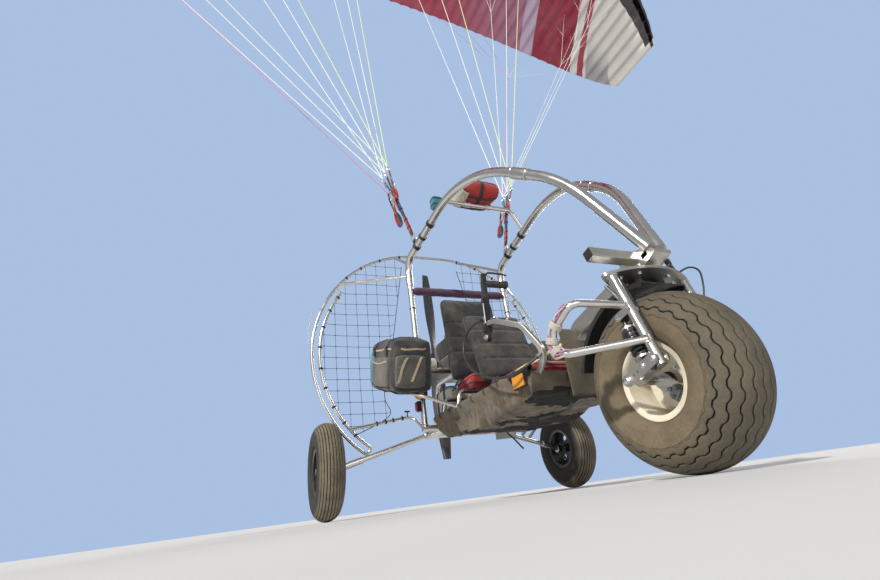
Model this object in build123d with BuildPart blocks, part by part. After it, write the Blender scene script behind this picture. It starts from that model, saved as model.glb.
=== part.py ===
"""Two-seat powered paraglider trike with its wing, parked on its three wheels.

Millimetres. +X is forward, +Y is the pilot's left, +Z is up. The origin is on the floor, under
the middle of the whole aircraft. A "station" is a distance ahead of the front axle, so most
are negative.
"""
import os
from math import asin, cos, hypot, radians, sin, sqrt, tan

from build123d import *

os.makedirs("parts", exist_ok=True)

# Wheels
FRONT_AXLE_X = 2117.5
WHEELBASE = 1540.0
TRACK = 1492.0
FRONT_TYRE_R = 260.0
FRONT_TYRE_WIDTH = 222.0
FRONT_CROWN_DROP = 34.0
REAR_TYRE_R = 233.0
REAR_TYRE_WIDTH = 132.0
REAR_CROWN_DROP = 14.0
BEAD_R = 101.6
FLANGE_R = 114.5
TYRE_WALL = 12.0
RIM_SHEET = 4.0
DISC_SHEET = 5.0
HUB_R = 26.0
AXLE_R = 10.0
SPACER_R = 15.0
AXLE_CAP_R = 13.0
AXLE_CAP = 4.0
RUNNING_GAP = 0.4
FRONT_DISC_Y = 22.0
FRONT_HUB_HALF = 34.0
REAR_DISC_Y = 6.0
REAR_HUB_HALF = 30.0
RIM_HOLES = 5
RIM_HOLE_R = 17.0
RIM_HOLE_CIRCLE_R = 62.0
BRAKE_DISC_R = 76.0
BRAKE_DISC_SHEET = 4.0
BRAKE_DISC_Y = -8.0
CALIPER_LENGTH = 38.0
CALIPER_WIDTH = 36.0
CALIPER_GAP = 2.5
CALIPER_PLATE_Y = -50.0
CALIPER_RING_R = 24.0
CALIPER_ANGLE = -45.0
CALIPER_START_R = 50.0
CALIPER_EAR_R = 22.0

# Steering and fork
RAKE = 13.5
HEAD_STATION = 23.0
HEAD_Z = 600.0
STEM_R = 18.0
STEM_TOP = 52.0
HEAD_TUBE_R = 26.0
RING_R = 30.0
RING_HEIGHT = 9.0
FORK_SPREAD = 300.0
LEG_R = 15.0
LEG_AHEAD = 6.0
LEG_END_DROP = 338.0
PLATE_DROP = 22.0
PLATE_THICKNESS = 10.0
PLATE_HALF_WIDTH = 192.0
PLATE_HALF_DEPTH = 62.0
PLATE_TIP_R = 16.0
LINK_PIVOT_DROP = 318.0
LINK_SHEET = 6.0
LINK_HALF_GAP = 18.0
PIVOT_PIN_R = 8.0
LINK_OPENING_R = 4.5
LINK_OPENING_SHARES = (0.57, 0.72)
SHOCK_BACK = 41.0
SHOCK_TOP_DROP = 158.0
SHOCK_FOOT_DROP = 317.0
SHOCK_PIN_R = 5.0
SHOCK_EYE_R = 11.0
SHOCK_ROD_R = 7.0
SPRING_R = 22.0
SPRING_CORE_R = 17.0
SPRING_COILS = 7
SPRING_START = 0.27
SPRING_SHARE = 0.55
TAB_SHEET = 4.0
BUSH_PLAY = 1.0
TAB_HALF_GAP = 14.0
FOOTREST_R = 11.0
FENDER_R = 285.0
FENDER_SHEET = 4.0
FENDER_HALF_WIDTH = 95.0
FENDER_SKIRT = 18.0
FENDER_FRONT_ANGLE = 74.0
FENDER_SWEEP = 86.0

# Steering damper, in the steering frame
DAMPER_PIVOT = (62.0, 47.0)
DAMPER_EYE = (-4.0, 165.0)
DAMPER_Z = -8.0
DAMPER_TUBE_R = 7.0
DAMPER_TUBE_LENGTH = 80.0
DAMPER_ROD_R = 3.5
DAMPER_ROD_LENGTH = 90.0
DAMPER_EYE_R = 9.0
DAMPER_PIN_R = 4.0
EYE_FLOAT = 1.5

# Frame
ARCH_R = 20.0
ARCH_BEND_R = 640.0
ARCH_END_BEND_R = 90.0
SLEEVE_R = 23.5
SLEEVE_LENGTH = 90.0
MAST_R = 15.0
MAST_STATION = -1236.0
MAST_Y = 306.0
MAST_JOINT_Z = 1150.0
MAST_FOOT_Z = 360.0
RAIL_R = 16.0
RAIL_Y = 190.0
RAIL_FRONT_STATION = -420.0
RAIL_FRONT_Z = 345.0
REAR_NODE_STATION = -1471.0
REAR_NODE_Z = 361.0
REAR_TUBE_R = 20.0
SIDE_TUBE_R = 10.0
SIDE_TUBE_Y = 240.0
SIDE_TUBE_Z = 405.0
BOX_HALF_WIDTH = 35.0
BOX_SHEET = 6.0
KEEL_WIDTH = 40.0
KEEL_DEPTH = 60.0
TOE_BAR = 36.0
TOE_BAR_WALL = 3.0
TOE_BAR_REACH = 215.0
WEB_SHEET = 4.0
HANG_STATION = -1109.0
HANG_EYE_R = 7.0
HANG_Y = 298.0
HANG_EYE_Z = 1375.0
HANG_SHEET = 8.0
AXLE_BEAM_R = 12.5
AXLE_SLEEVE_R = 17.0
KNUCKLE_R = 22.0
ROLL_BAR_R = 12.0
CLAMP_R = 16.0

# Engine, cage and propeller
BEARER_R = 12.0
BEARER_Y = 85.0
BEARER_Z = 650.0
BEARER_END_STATION = -1570.0
CRANKCASE = (180.0, 150.0, 136.0)
ENGINE_STATION = -1440.0
CYLINDER_R = 46.0
FIN_R = 64.0
FINS = 7
FIN_SHEET = 5.0
FIN_PITCH = 15.0
CRANK_Z = 735.0
REDRIVE_SHEET = 42.0
PROP_SHAFT_R = 15.0
CAGE_STATION = -1620.0
CAGE_TUBE_R = 9.0
CAGE_R = 706.0
CAGE_OFFSET = 93.0
CAGE_Z = 868.0
CAGE_PAIR_GAP = 44.0
CAGE_END_ANGLE = 232.0
CAGE_INNER_ANGLE = 143.0
NET_MESH = 68.0
NET_CORD = 4.0
NET_ROPE = 8.0
PROP_STATION = -1712.0
PROP_R = 620.0
PROP_HUB_R = 46.0
PROP_HUB_LENGTH = 50.0

# Soft goods and controls
BAG_SHEET = 3.0
BAG_FRONT_STATION = -345.0
BAG_REAR_STATION = -1246.0
SEAT_HALF_WIDTH = 185.0
PANNIER = (390.0, 195.0, 250.0)
PANNIER_CENTRE = (-1102.0, 452.0, 646.0)
PANNIER_PITCH = 17.0
PANNIER_CORNER_R = 45.0
RESCUE_PACK = (200.0, 250.0, 128.0)
RESCUE_STATION = -872.0
RESCUE_CORNER_R = 45.0
RESCUE_EDGE_R = 30.0
POUCH = (56.0, 64.0, 84.0)
POUCH_AT = (-834.0, -268.0, 1398.0)
POUCH_CORNER_R = 10.0
PAD_R = 25.0
PAD_Z = 1120.0
MUD_FLAP = (200.0, 250.0)
MUD_FLAP_STATION = -331.0
MUD_FLAP_Z = 420.0
FLAP_SHEET = 4.0
FLAP_CORNER_R = 20.0
ARM_SQUARE = 20.0
ARM_CORNER_R = 3.0
HOSE_R = 5.0
GLAND_R = 8.0

# Wing
WING_RADIUS = 7700.0
ARCH_CENTRE_Z = 1750.0
WING_HALF_WIDTH = 5500.0
WING_STATION = -2490.0
TIP_SWEEP = 370.0
CENTRE_CHORD = 3000.0
TIP_ROUNDING = 0.95
CELLS = 36
CANOPY_SKIN = 3.0
CELL_BULGE = 0.012
WING_INCIDENCE = 4.0
HANG_CHORD = 0.33
LINE_R = 2.0
RISER_SHEET = 5.0
RISER_WIDTH = 26.0
RISER_TOP = (-1136.0, 429.0, 1859.0)
FINGER_SPREAD = 55.0


def station(x):
    """The X of a place given as a distance ahead of the front axle."""
    return FRONT_AXLE_X + x


REAR_AXLE = station(-WHEELBASE)
SIDES = {"right": -1, "left": 1}
FRONT_RIM_WIDTH = FRONT_TYRE_WIDTH * 0.66 + 2 * RIM_SHEET
REAR_RIM_WIDTH = REAR_TYRE_WIDTH * 0.66 + 2 * RIM_SHEET


def on_side(sign, points):
    """Places points given as station, distance to the side and height, on one side."""
    return [(station(x), sign * y, z) for x, y, z in points]


def tube(points, radii, radius):
    """Adds a round tube along straight runs joined by arcs."""
    with BuildLine() as path:
        if len(points) == 2:
            Line(*points)
        else:
            FilletPolyline(*points, radius=radii)
    with BuildSketch(Plane(origin=path.line @ 0, z_dir=path.line % 0)) as section:
        Circle(radius)
    sweep(sections=section.sketch, path=path.line)


def save(builder, label):
    """Labels a finished piece and writes its file."""
    builder.part.label = label
    export_step(builder.part, f"parts/{label}.step")


def cut_by(*builders):
    """Cuts the piece that is being made where its finished neighbours already are."""
    for neighbour in builders:
        add(neighbour.part, mode=Mode.SUBTRACT)


def side_plane(y):
    """A plane facing right whose local x is the machine's X and local y its Z."""
    return Plane(origin=(0, y, 0), x_dir=(1, 0, 0), z_dir=(0, -1, 0))


def cross_plane(x):
    """A plane facing forward whose local x is the machine's Y and local y its Z."""
    return Plane(origin=(x, 0, 0), x_dir=(0, 1, 0), z_dir=(1, 0, 0))


def cross_pin(point, y_low, y_high, radius, mode=Mode.ADD):
    """Adds or cuts a round pin that lies across the machine."""
    with BuildSketch(side_plane(y_high)) as section:
        with Locations((point.X, point.Z)):
            Circle(radius)
    extrude(to_extrude=section.sketch, amount=y_high - y_low, mode=mode)


def plate_between(centres, radii, y_low, y_high):
    """Adds a flat upright plate with round ends about the given points."""
    with BuildSketch(side_plane(y_high)) as section:
        for centre, radius in zip(centres, radii):
            with Locations((centre.X, centre.Z)):
                Circle(radius)
        make_hull()
    extrude(to_extrude=section.sketch, amount=y_high - y_low)


def profile_across(points, half_width):
    """Adds a solid whose side outline is a list of station and height, across the middle."""
    with BuildSketch(side_plane(half_width)) as section:
        with BuildLine() as outline:
            Polyline(*[(station(x), z) for x, z in points], close=True)
        make_face(outline.edges())
    extrude(to_extrude=section.sketch, amount=2 * half_width)


# The steering frame: z runs up the steering axis, x forward, its origin at the head
steering = Plane(
    origin=(station(HEAD_STATION), 0, HEAD_Z),
    x_dir=(cos(radians(RAKE)), 0, sin(radians(RAKE))),
    z_dir=(-sin(radians(RAKE)), 0, cos(radians(RAKE))),
)


def in_steering(x, y, z):
    """A point of the steering frame, as the machine's own coordinates."""
    return steering.from_local_coords(Vector(x, y, z))


def head_side(y):
    """A plane facing right whose local x and y are the steering frame's x and z."""
    return Plane(origin=in_steering(0, y, 0), x_dir=steering.x_dir, z_dir=(0, -1, 0))


LEG_Y = FORK_SPREAD / 2
PLATE_BOTTOM = -PLATE_DROP - PLATE_THICKNESS
LINK_IN = LEG_Y - LINK_HALF_GAP - LINK_SHEET
LINK_OUT = LEG_Y + LINK_HALF_GAP + LINK_SHEET
front_axle = Vector(station(0), 0, FRONT_TYRE_R)
link_pivot = in_steering(LEG_AHEAD, 0, -LINK_PIVOT_DROP)
shock_top = in_steering(LEG_AHEAD - SHOCK_BACK, 0, -SHOCK_TOP_DROP)
shock_foot = in_steering(LEG_AHEAD - SHOCK_BACK, 0, -SHOCK_FOOT_DROP)


# Wheels
def tyre_profile(outer_r, width, crown_drop):
    """Half section of a hollow tyre, open at its beads, in the plane of radius and width."""
    half = width / 2
    shoulder_y = half * 0.72
    shoulder_r = outer_r - crown_drop
    bulge_r = (outer_r + BEAD_R) / 2
    bead_y = half * 0.66
    with BuildLine() as outline:
        ThreePointArc((shoulder_r, -shoulder_y), (outer_r, 0), (shoulder_r, shoulder_y))
        ThreePointArc((shoulder_r, shoulder_y), (bulge_r, half), (FLANGE_R, bead_y))
        Polyline(
            (FLANGE_R, bead_y),
            (BEAD_R, bead_y),
            (BEAD_R, bead_y - TYRE_WALL),
            (FLANGE_R, bead_y - TYRE_WALL),
        )
        ThreePointArc(
            (FLANGE_R, bead_y - TYRE_WALL),
            (bulge_r, half - TYRE_WALL),
            (shoulder_r - TYRE_WALL, shoulder_y - TYRE_WALL),
        )
        ThreePointArc(
            (shoulder_r - TYRE_WALL, shoulder_y - TYRE_WALL),
            (outer_r - TYRE_WALL, 0),
            (shoulder_r - TYRE_WALL, TYRE_WALL - shoulder_y),
        )
        ThreePointArc(
            (shoulder_r - TYRE_WALL, TYRE_WALL - shoulder_y),
            (bulge_r, TYRE_WALL - half),
            (FLANGE_R, TYRE_WALL - bead_y),
        )
        Polyline(
            (FLANGE_R, TYRE_WALL - bead_y),
            (BEAD_R, TYRE_WALL - bead_y),
            (BEAD_R, -bead_y),
            (FLANGE_R, -bead_y),
        )
        ThreePointArc((FLANGE_R, -bead_y), (bulge_r, -half), (shoulder_r, -shoulder_y))
    make_face(outline.edges())


def wheel_plane(x, y, z):
    """Local x is the radius (world X), local y is the width (world Y)."""
    return Plane(origin=(x, y, z), x_dir=(1, 0, 0), z_dir=(0, 0, 1))


def turn_about_axle(x, y, z):
    """Revolves the pending section about a wheel's axle."""
    revolve(axis=Axis((x, y, z), (0, 1, 0)))


def rim_section(width, disc_y, hub_half):
    """Section of a pressed steel rim: flanges, barrel, disc and hub."""
    half = width / 2
    bore = AXLE_R + RUNNING_GAP
    barrel_in = BEAD_R - RIM_SHEET
    Polyline(
        (bore, disc_y - hub_half),
        (HUB_R, disc_y - hub_half),
        (HUB_R, disc_y - DISC_SHEET),
        (barrel_in, disc_y - DISC_SHEET),
        (barrel_in, -half),
        (FLANGE_R - RIM_SHEET, -half - RIM_SHEET),
        (FLANGE_R, -half - RIM_SHEET),
        (FLANGE_R, -half),
        (BEAD_R, -half + RIM_SHEET),
        (BEAD_R, half - RIM_SHEET),
        (FLANGE_R, half),
        (FLANGE_R, half + RIM_SHEET),
        (FLANGE_R - RIM_SHEET, half + RIM_SHEET),
        (barrel_in, half),
        (barrel_in, disc_y),
        (HUB_R, disc_y),
        (HUB_R, disc_y + hub_half),
        (bore, disc_y + hub_half),
        close=True,
    )


with BuildPart() as front_rim:
    with BuildSketch(wheel_plane(*front_axle)):
        with BuildLine():
            rim_section(FRONT_RIM_WIDTH, FRONT_DISC_Y, FRONT_HUB_HALF)
        make_face()
    turn_about_axle(*front_axle)
    with BuildSketch(side_plane(BRAKE_DISC_Y + BRAKE_DISC_SHEET / 2)):
        with Locations((front_axle.X, front_axle.Z)):
            Circle(BRAKE_DISC_R)
            Circle(HUB_R - DISC_SHEET, mode=Mode.SUBTRACT)
    extrude(amount=BRAKE_DISC_SHEET)
save(front_rim, "front_rim")

with BuildPart() as front_tyre:
    with BuildSketch(wheel_plane(*front_axle)):
        tyre_profile(FRONT_TYRE_R, FRONT_TYRE_WIDTH, FRONT_CROWN_DROP)
    turn_about_axle(*front_axle)
    cut_by(front_rim)
save(front_tyre, "front_tyre")

for side, sign in SIDES.items():
    hub = (REAR_AXLE, sign * TRACK / 2, REAR_TYRE_R)
    with BuildPart() as rear_rim:
        with BuildSketch(wheel_plane(*hub)):
            with BuildLine():
                rim_section(REAR_RIM_WIDTH, sign * REAR_DISC_Y, REAR_HUB_HALF)
            make_face()
        turn_about_axle(*hub)
        with BuildSketch(Plane(origin=hub, x_dir=(1, 0, 0), z_dir=(0, -1, 0))):
            with PolarLocations(RIM_HOLE_CIRCLE_R, RIM_HOLES, start_angle=90):
                Circle(RIM_HOLE_R)
        extrude(amount=REAR_TYRE_WIDTH, both=True, mode=Mode.SUBTRACT)
    save(rear_rim, f"rear_rim_{side}")
    with BuildPart() as rear_tyre:
        with BuildSketch(wheel_plane(*hub)):
            tyre_profile(REAR_TYRE_R, REAR_TYRE_WIDTH, REAR_CROWN_DROP)
        turn_about_axle(*hub)
        cut_by(rear_rim)
    save(rear_tyre, f"rear_tyre_{side}")


# Fork, which turns with the front wheel
with BuildPart() as fork_plate:
    with BuildSketch(steering.offset(PLATE_BOTTOM)) as crown:
        with BuildLine():
            ThreePointArc((0, -PLATE_HALF_WIDTH), (PLATE_HALF_DEPTH, 0), (0, PLATE_HALF_WIDTH))
            ThreePointArc((0, PLATE_HALF_WIDTH), (-PLATE_HALF_DEPTH, 0), (0, -PLATE_HALF_WIDTH))
        make_face()
        fillet(crown.vertices(), PLATE_TIP_R)
    extrude(amount=PLATE_THICKNESS)
    with BuildSketch(steering.offset(-PLATE_DROP)):
        Circle(STEM_R)
    extrude(amount=PLATE_DROP + STEM_TOP)
    with BuildSketch(steering.offset(-PLATE_DROP)):
        with Locations(DAMPER_EYE):
            Circle(DAMPER_EYE_R)
    extrude(amount=PLATE_DROP + DAMPER_Z - DAMPER_PIN_R - EYE_FLOAT)
save(fork_plate, "fork_plate")

with BuildPart() as bearing_ring:
    with BuildSketch(steering.offset(-PLATE_DROP)):
        Circle(RING_R)
        Circle(STEM_R, mode=Mode.SUBTRACT)
    extrude(amount=RING_HEIGHT)
save(bearing_ring, "bearing_ring")

with BuildPart() as front_axle_pin:
    hub_right = FRONT_DISC_Y - FRONT_HUB_HALF - RUNNING_GAP
    hub_left = FRONT_DISC_Y + FRONT_HUB_HALF + RUNNING_GAP
    cap_out = LINK_OUT + AXLE_CAP
    with BuildSketch(wheel_plane(*front_axle)):
        with BuildLine():
            Polyline(
                (0, -cap_out),
                (AXLE_CAP_R, -cap_out),
                (AXLE_CAP_R, -LINK_OUT),
                (AXLE_R, -LINK_OUT),
                (AXLE_R, -LINK_IN),
                (SPACER_R, -LINK_IN),
                (SPACER_R, hub_right),
                (AXLE_R, hub_right),
                (AXLE_R, hub_left),
                (SPACER_R, hub_left),
                (SPACER_R, LINK_IN),
                (AXLE_R, LINK_IN),
                (AXLE_R, LINK_OUT),
                (AXLE_CAP_R, LINK_OUT),
                (AXLE_CAP_R, cap_out),
                (0, cap_out),
                close=True,
            )
        make_face()
    turn_about_axle(*front_axle)
save(front_axle_pin, "front_axle")

with BuildPart() as fork_legs:
    for sign in SIDES.values():
        leg_y = sign * LEG_Y
        leg_top = in_steering(LEG_AHEAD, leg_y, PLATE_BOTTOM)
        leg_end = in_steering(LEG_AHEAD, leg_y, -LEG_END_DROP)
        tube([leg_top, leg_end], None, LEG_R)
        tab_root = in_steering(LEG_AHEAD, 0, -SHOCK_TOP_DROP)
        for tab_y in (leg_y - TAB_HALF_GAP - TAB_SHEET, leg_y + TAB_HALF_GAP):
            plate_between(
                [tab_root, shock_top], [LEG_R - TAB_SHEET, SHOCK_EYE_R], tab_y, tab_y + TAB_SHEET
            )
        tab_out = TAB_HALF_GAP + TAB_SHEET
        cross_pin(shock_top, leg_y - tab_out, leg_y + tab_out, SHOCK_PIN_R)
        link_out = LINK_HALF_GAP + LINK_SHEET
        cross_pin(link_pivot, leg_y - link_out, leg_y + link_out, PIVOT_PIN_R)
save(fork_legs, "fork_legs")

LINK_RADII = [15.0, 13.0, 17.0]
with BuildPart() as fork_links:
    for sign in SIDES.values():
        leg_y = sign * LEG_Y
        for plate_y in (leg_y - LINK_HALF_GAP - LINK_SHEET, leg_y + LINK_HALF_GAP):
            plate_between(
                [link_pivot, shock_foot, front_axle],
                LINK_RADII,
                plate_y,
                plate_y + LINK_SHEET,
            )
        link_out = LINK_HALF_GAP + LINK_SHEET
        cross_pin(shock_foot, leg_y - link_out, leg_y + link_out, SHOCK_PIN_R)
        for share in LINK_OPENING_SHARES:
            opening = link_pivot + (front_axle - link_pivot) * share
            cross_pin(opening, leg_y - link_out, leg_y + link_out, LINK_OPENING_R, Mode.SUBTRACT)
    cross_pin(front_axle, -LINK_OUT, LINK_OUT, AXLE_R, Mode.SUBTRACT)
    cut_by(fork_legs)
save(fork_links, "fork_links")


def spring_profile(foot_length, spring_length):
    """Outline of a coil spring with its core, as radius and height up the shock."""
    pitch = spring_length / SPRING_COILS
    points = [(0, foot_length), (SPRING_CORE_R, foot_length)]
    for coil in range(SPRING_COILS):
        low = foot_length + coil * pitch
        points.append((SPRING_R, low + pitch * 0.3))
        points.append((SPRING_R, low + pitch * 0.7))
        points.append((SPRING_CORE_R, low + pitch))
    points.append((0, foot_length + spring_length))
    return points


with BuildPart() as shocks:
    reach = (shock_top - shock_foot).length
    for sign in SIDES.values():
        leg_y = sign * LEG_Y
        foot = Vector(shock_foot.X, leg_y, shock_foot.Z)
        up = (shock_top - shock_foot).normalized()
        for end, half_gap in ((shock_foot, LINK_HALF_GAP), (shock_top, TAB_HALF_GAP)):
            half = half_gap - BUSH_PLAY
            cross_pin(end, leg_y - half, leg_y + half, SHOCK_EYE_R)
        with BuildSketch(Plane(origin=foot, z_dir=up)):
            Circle(SHOCK_ROD_R)
        extrude(amount=reach)
        spring_plane = Plane(origin=foot, x_dir=(0, 1, 0), z_dir=Vector(0, 1, 0).cross(up))
        spring_outline = spring_profile(reach * SPRING_START, reach * SPRING_SHARE)
        with BuildSketch(spring_plane):
            with BuildLine():
                Polyline(*spring_outline, close=True)
            make_face()
        revolve(axis=Axis(tuple(foot), tuple(up)))
    cut_by(fork_legs, fork_links)
save(shocks, "shocks")

FOOTREST_POINTS = [
    # station, distance to the side, height
    (61.5, 150.0, 465.0),
    (20.0, 320.0, 482.0),
    (-60.0, 337.0, 428.0),
    (-80.0, 337.0, 383.0),
    (-41.0, 328.0, 350.0),
    (98.0, 150.0, 350.0),
]
with BuildPart() as footrests:
    for sign in SIDES.values():
        tube(on_side(sign, FOOTREST_POINTS), [40.0, 26.0, 24.0, 26.0], FOOTREST_R)
    cut_by(fork_legs)
save(footrests, "footrests")

with BuildPart() as brake_caliper:
    caliper_angle = radians(CALIPER_ANGLE)
    caliper_mid = CALIPER_START_R + CALIPER_LENGTH / 2
    caliper_face_y = BRAKE_DISC_Y + CALIPER_LENGTH / 3
    caliper_at = front_axle + Vector(cos(caliper_angle), 0, sin(caliper_angle)) * caliper_mid
    plate_between(
        [front_axle, caliper_at],
        [CALIPER_RING_R, CALIPER_EAR_R],
        CALIPER_PLATE_Y,
        CALIPER_PLATE_Y + LINK_SHEET,
    )
    with BuildSketch(side_plane(caliper_face_y)):
        with Locations((caliper_at.X, caliper_at.Z)):
            Rectangle(CALIPER_LENGTH, CALIPER_WIDTH, rotation=CALIPER_ANGLE)
    extrude(amount=caliper_face_y - CALIPER_PLATE_Y)
    slot_half = BRAKE_DISC_SHEET / 2 + CALIPER_GAP
    slot_low, slot_high = BRAKE_DISC_Y - slot_half, BRAKE_DISC_Y + slot_half
    cross_pin(front_axle, slot_low, slot_high, BRAKE_DISC_R + CALIPER_GAP, Mode.SUBTRACT)
    cut_by(front_axle_pin)
save(brake_caliper, "brake_caliper")

with BuildPart() as front_fender:
    for strut_y in (-FENDER_HALF_WIDTH / 2, FENDER_HALF_WIDTH / 2):
        with BuildSketch(steering.offset(PLATE_BOTTOM)):
            with Locations((0, strut_y)):
                Circle(LEG_R)
        extrude(amount=-RING_R)
    cross_pin(front_axle, -FENDER_HALF_WIDTH, FENDER_HALF_WIDTH, FENDER_R, Mode.SUBTRACT)
    with BuildSketch(
        Plane(
            origin=tuple(front_axle),
            x_dir=(cos(radians(FENDER_FRONT_ANGLE)), 0, sin(radians(FENDER_FRONT_ANGLE))),
            z_dir=(-sin(radians(FENDER_FRONT_ANGLE)), 0, cos(radians(FENDER_FRONT_ANGLE))),
        )
    ):
        with BuildLine():
            outer = FENDER_R + FENDER_SHEET
            inner_y = FENDER_HALF_WIDTH - FENDER_SHEET
            Polyline(
                (outer - FENDER_SKIRT, -FENDER_HALF_WIDTH),
                (outer - FENDER_SHEET, -FENDER_HALF_WIDTH),
                (outer, -inner_y),
                (outer, inner_y),
                (outer - FENDER_SHEET, FENDER_HALF_WIDTH),
                (outer - FENDER_SKIRT, FENDER_HALF_WIDTH),
                (outer - FENDER_SKIRT, inner_y),
                (FENDER_R, inner_y),
                (FENDER_R, -inner_y),
                (outer - FENDER_SKIRT, -inner_y),
                close=True,
            )
        make_face()
    revolve(axis=Axis(tuple(front_axle), (0, -1, 0)), revolution_arc=FENDER_SWEEP)
save(front_fender, "front_fender")

# Steering damper between the head and the left end of the fork plate
damper_run = Vector(DAMPER_EYE[0] - DAMPER_PIVOT[0], DAMPER_EYE[1] - DAMPER_PIVOT[1])
damper_dir = steering.from_local_coords(Vector(*DAMPER_PIVOT) + damper_run.normalized())
damper_dir = damper_dir - steering.from_local_coords(Vector(*DAMPER_PIVOT))


def damper_plane(pivot):
    """A plane across the steering axis at one of the damper's two pivots."""
    return Plane(origin=in_steering(*pivot, DAMPER_Z), x_dir=damper_dir, z_dir=steering.z_dir)


def damper_bar(pivot, start, end, radius, mode=Mode.ADD):
    """Adds or cuts a round bar along the damper, from and to a distance past a pivot."""
    origin = in_steering(*pivot, DAMPER_Z) + damper_dir * start
    with BuildSketch(Plane(origin=origin, z_dir=damper_dir)) as section:
        Circle(radius)
    extrude(to_extrude=section.sketch, amount=end - start, mode=mode)


def damper_eye(pivot, half_height):
    """Adds an eye at one of the damper's pivots, with its hole."""
    with BuildSketch(damper_plane(pivot).offset(-half_height)) as section:
        Circle(DAMPER_EYE_R)
    extrude(to_extrude=section.sketch, amount=2 * half_height)


def damper_hole(pivot, half_height):
    """Cuts the pin hole of one of the damper's eyes."""
    with BuildSketch(damper_plane(pivot).offset(-half_height)) as section:
        Circle(DAMPER_PIN_R + RUNNING_GAP)
    extrude(to_extrude=section.sketch, amount=2 * half_height, mode=Mode.SUBTRACT)


with BuildPart() as damper_tube:
    tube_start = DAMPER_EYE_R - 1
    tube_end = tube_start + DAMPER_TUBE_LENGTH
    damper_eye(DAMPER_PIVOT, DAMPER_TUBE_R - 1.5)
    damper_bar(DAMPER_PIVOT, tube_start, tube_end, DAMPER_TUBE_R)
    damper_bar(DAMPER_PIVOT, tube_start + 3, tube_end, DAMPER_ROD_R + RUNNING_GAP, Mode.SUBTRACT)
    damper_hole(DAMPER_PIVOT, DAMPER_TUBE_R)
save(damper_tube, "damper_tube")

with BuildPart() as damper_rod:
    damper_eye(DAMPER_EYE, DAMPER_PIN_R)
    damper_bar(DAMPER_EYE, -DAMPER_ROD_LENGTH, 1 - DAMPER_EYE_R, DAMPER_ROD_R)
    damper_hole(DAMPER_EYE, DAMPER_PIN_R)
save(damper_rod, "damper_rod")


# Head of the frame
HEAD_OUTLINE = [
    # distance ahead of the steering axis, height up it
    (-38.0, -8.0),
    (40.0, -8.0),
    (96.0, 2.0),
    (100.0, 12.0),
    (80.0, 36.0),
    (29.0, 62.0),
    (-20.0, 66.0),
    (-38.0, 60.0),
]
HEAD_BOTTOM = HEAD_OUTLINE[0][1]
HEAD_WINDOW = (60.0, 20.0, 24.0, 16.0)


def head_block(half_width, sheet=0.0, mode=Mode.ADD):
    """Adds or cuts the head box's outline, drawn in by a sheet, as a solid block."""
    with BuildSketch(head_side(half_width)) as section:
        with BuildLine() as outline:
            Polyline(*HEAD_OUTLINE, close=True)
        make_face(outline.edges())
        if sheet:
            offset(amount=-sheet, kind=Kind.INTERSECTION)
    extrude(to_extrude=section.sketch, amount=2 * half_width, mode=mode)


with BuildPart() as head_box:
    head_block(BOX_HALF_WIDTH)
    head_block(BOX_HALF_WIDTH - BOX_SHEET, BOX_SHEET, Mode.SUBTRACT)
    with BuildSketch(head_side(BOX_HALF_WIDTH)):
        with Locations(HEAD_WINDOW[:2]):
            RectangleRounded(HEAD_WINDOW[2], HEAD_WINDOW[3], 3)
    extrude(amount=2 * BOX_HALF_WIDTH, mode=Mode.SUBTRACT)
    with BuildSketch(steering.offset(HEAD_BOTTOM)):
        Circle(HEAD_TUBE_R)
    extrude(amount=STEM_TOP + 4 - HEAD_BOTTOM)
    with BuildSketch(steering):
        with Locations(DAMPER_PIVOT):
            Circle(DAMPER_EYE_R + 1)
        with Locations((DAMPER_PIVOT[0], (DAMPER_PIVOT[1] + BOX_HALF_WIDTH - BOX_SHEET) / 2)):
            Rectangle(2 * DAMPER_EYE_R + 2, DAMPER_PIVOT[1] - BOX_HALF_WIDTH + BOX_SHEET)
    extrude(amount=TAB_SHEET)
    with BuildSketch(steering):
        with Locations(DAMPER_PIVOT):
            Circle(DAMPER_PIN_R)
    extrude(amount=DAMPER_Z - DAMPER_TUBE_R + 1)
    with BuildSketch(steering.offset(HEAD_BOTTOM)):
        Circle(STEM_R + RUNNING_GAP)
    extrude(amount=STEM_TOP + 1 - HEAD_BOTTOM, mode=Mode.SUBTRACT)
save(head_box, "head_box")

with BuildPart() as toe_bar:
    with BuildSketch(head_side(-BOX_HALF_WIDTH)):
        with Locations((19.0, 40.0)):
            RectangleRounded(TOE_BAR, TOE_BAR, 4)
            inside = TOE_BAR - 2 * TOE_BAR_WALL
            RectangleRounded(inside, inside, 2, mode=Mode.SUBTRACT)
    extrude(amount=TOE_BAR_REACH - BOX_HALF_WIDTH)
save(toe_bar, "toe_bar")

ARCH_POINTS = [
    # station, distance to the side, height
    (93.0, 24.0, 650.0),
    (-73.6, 125.9, 1033.2),
    (-389.1, 222.4, 1312.3),
    (-667.4, 268.9, 1394.7),
    (MAST_STATION, MAST_Y, 1309.0),
    (MAST_STATION, MAST_Y, MAST_JOINT_Z),
]
arch_bends = [ARCH_BEND_R, ARCH_BEND_R, ARCH_BEND_R, ARCH_END_BEND_R]


def along_arch(sign, share):
    """A point on the straight stretch between the arch's second and third corners."""
    start = Vector(on_side(sign, ARCH_POINTS)[1])
    end = Vector(on_side(sign, ARCH_POINTS)[2])
    return start + (end - start) * share


arches = []
for side, sign in SIDES.items():
    with BuildPart() as arch:
        tube(on_side(sign, ARCH_POINTS), arch_bends, ARCH_R)
        tube([along_arch(sign, 0.4), along_arch(sign, 0.6)], None, SLEEVE_R)
        head_block(BOX_HALF_WIDTH, mode=Mode.SUBTRACT)
    save(arch, f"arch_{side}")
    arches.append(arch)

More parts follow.
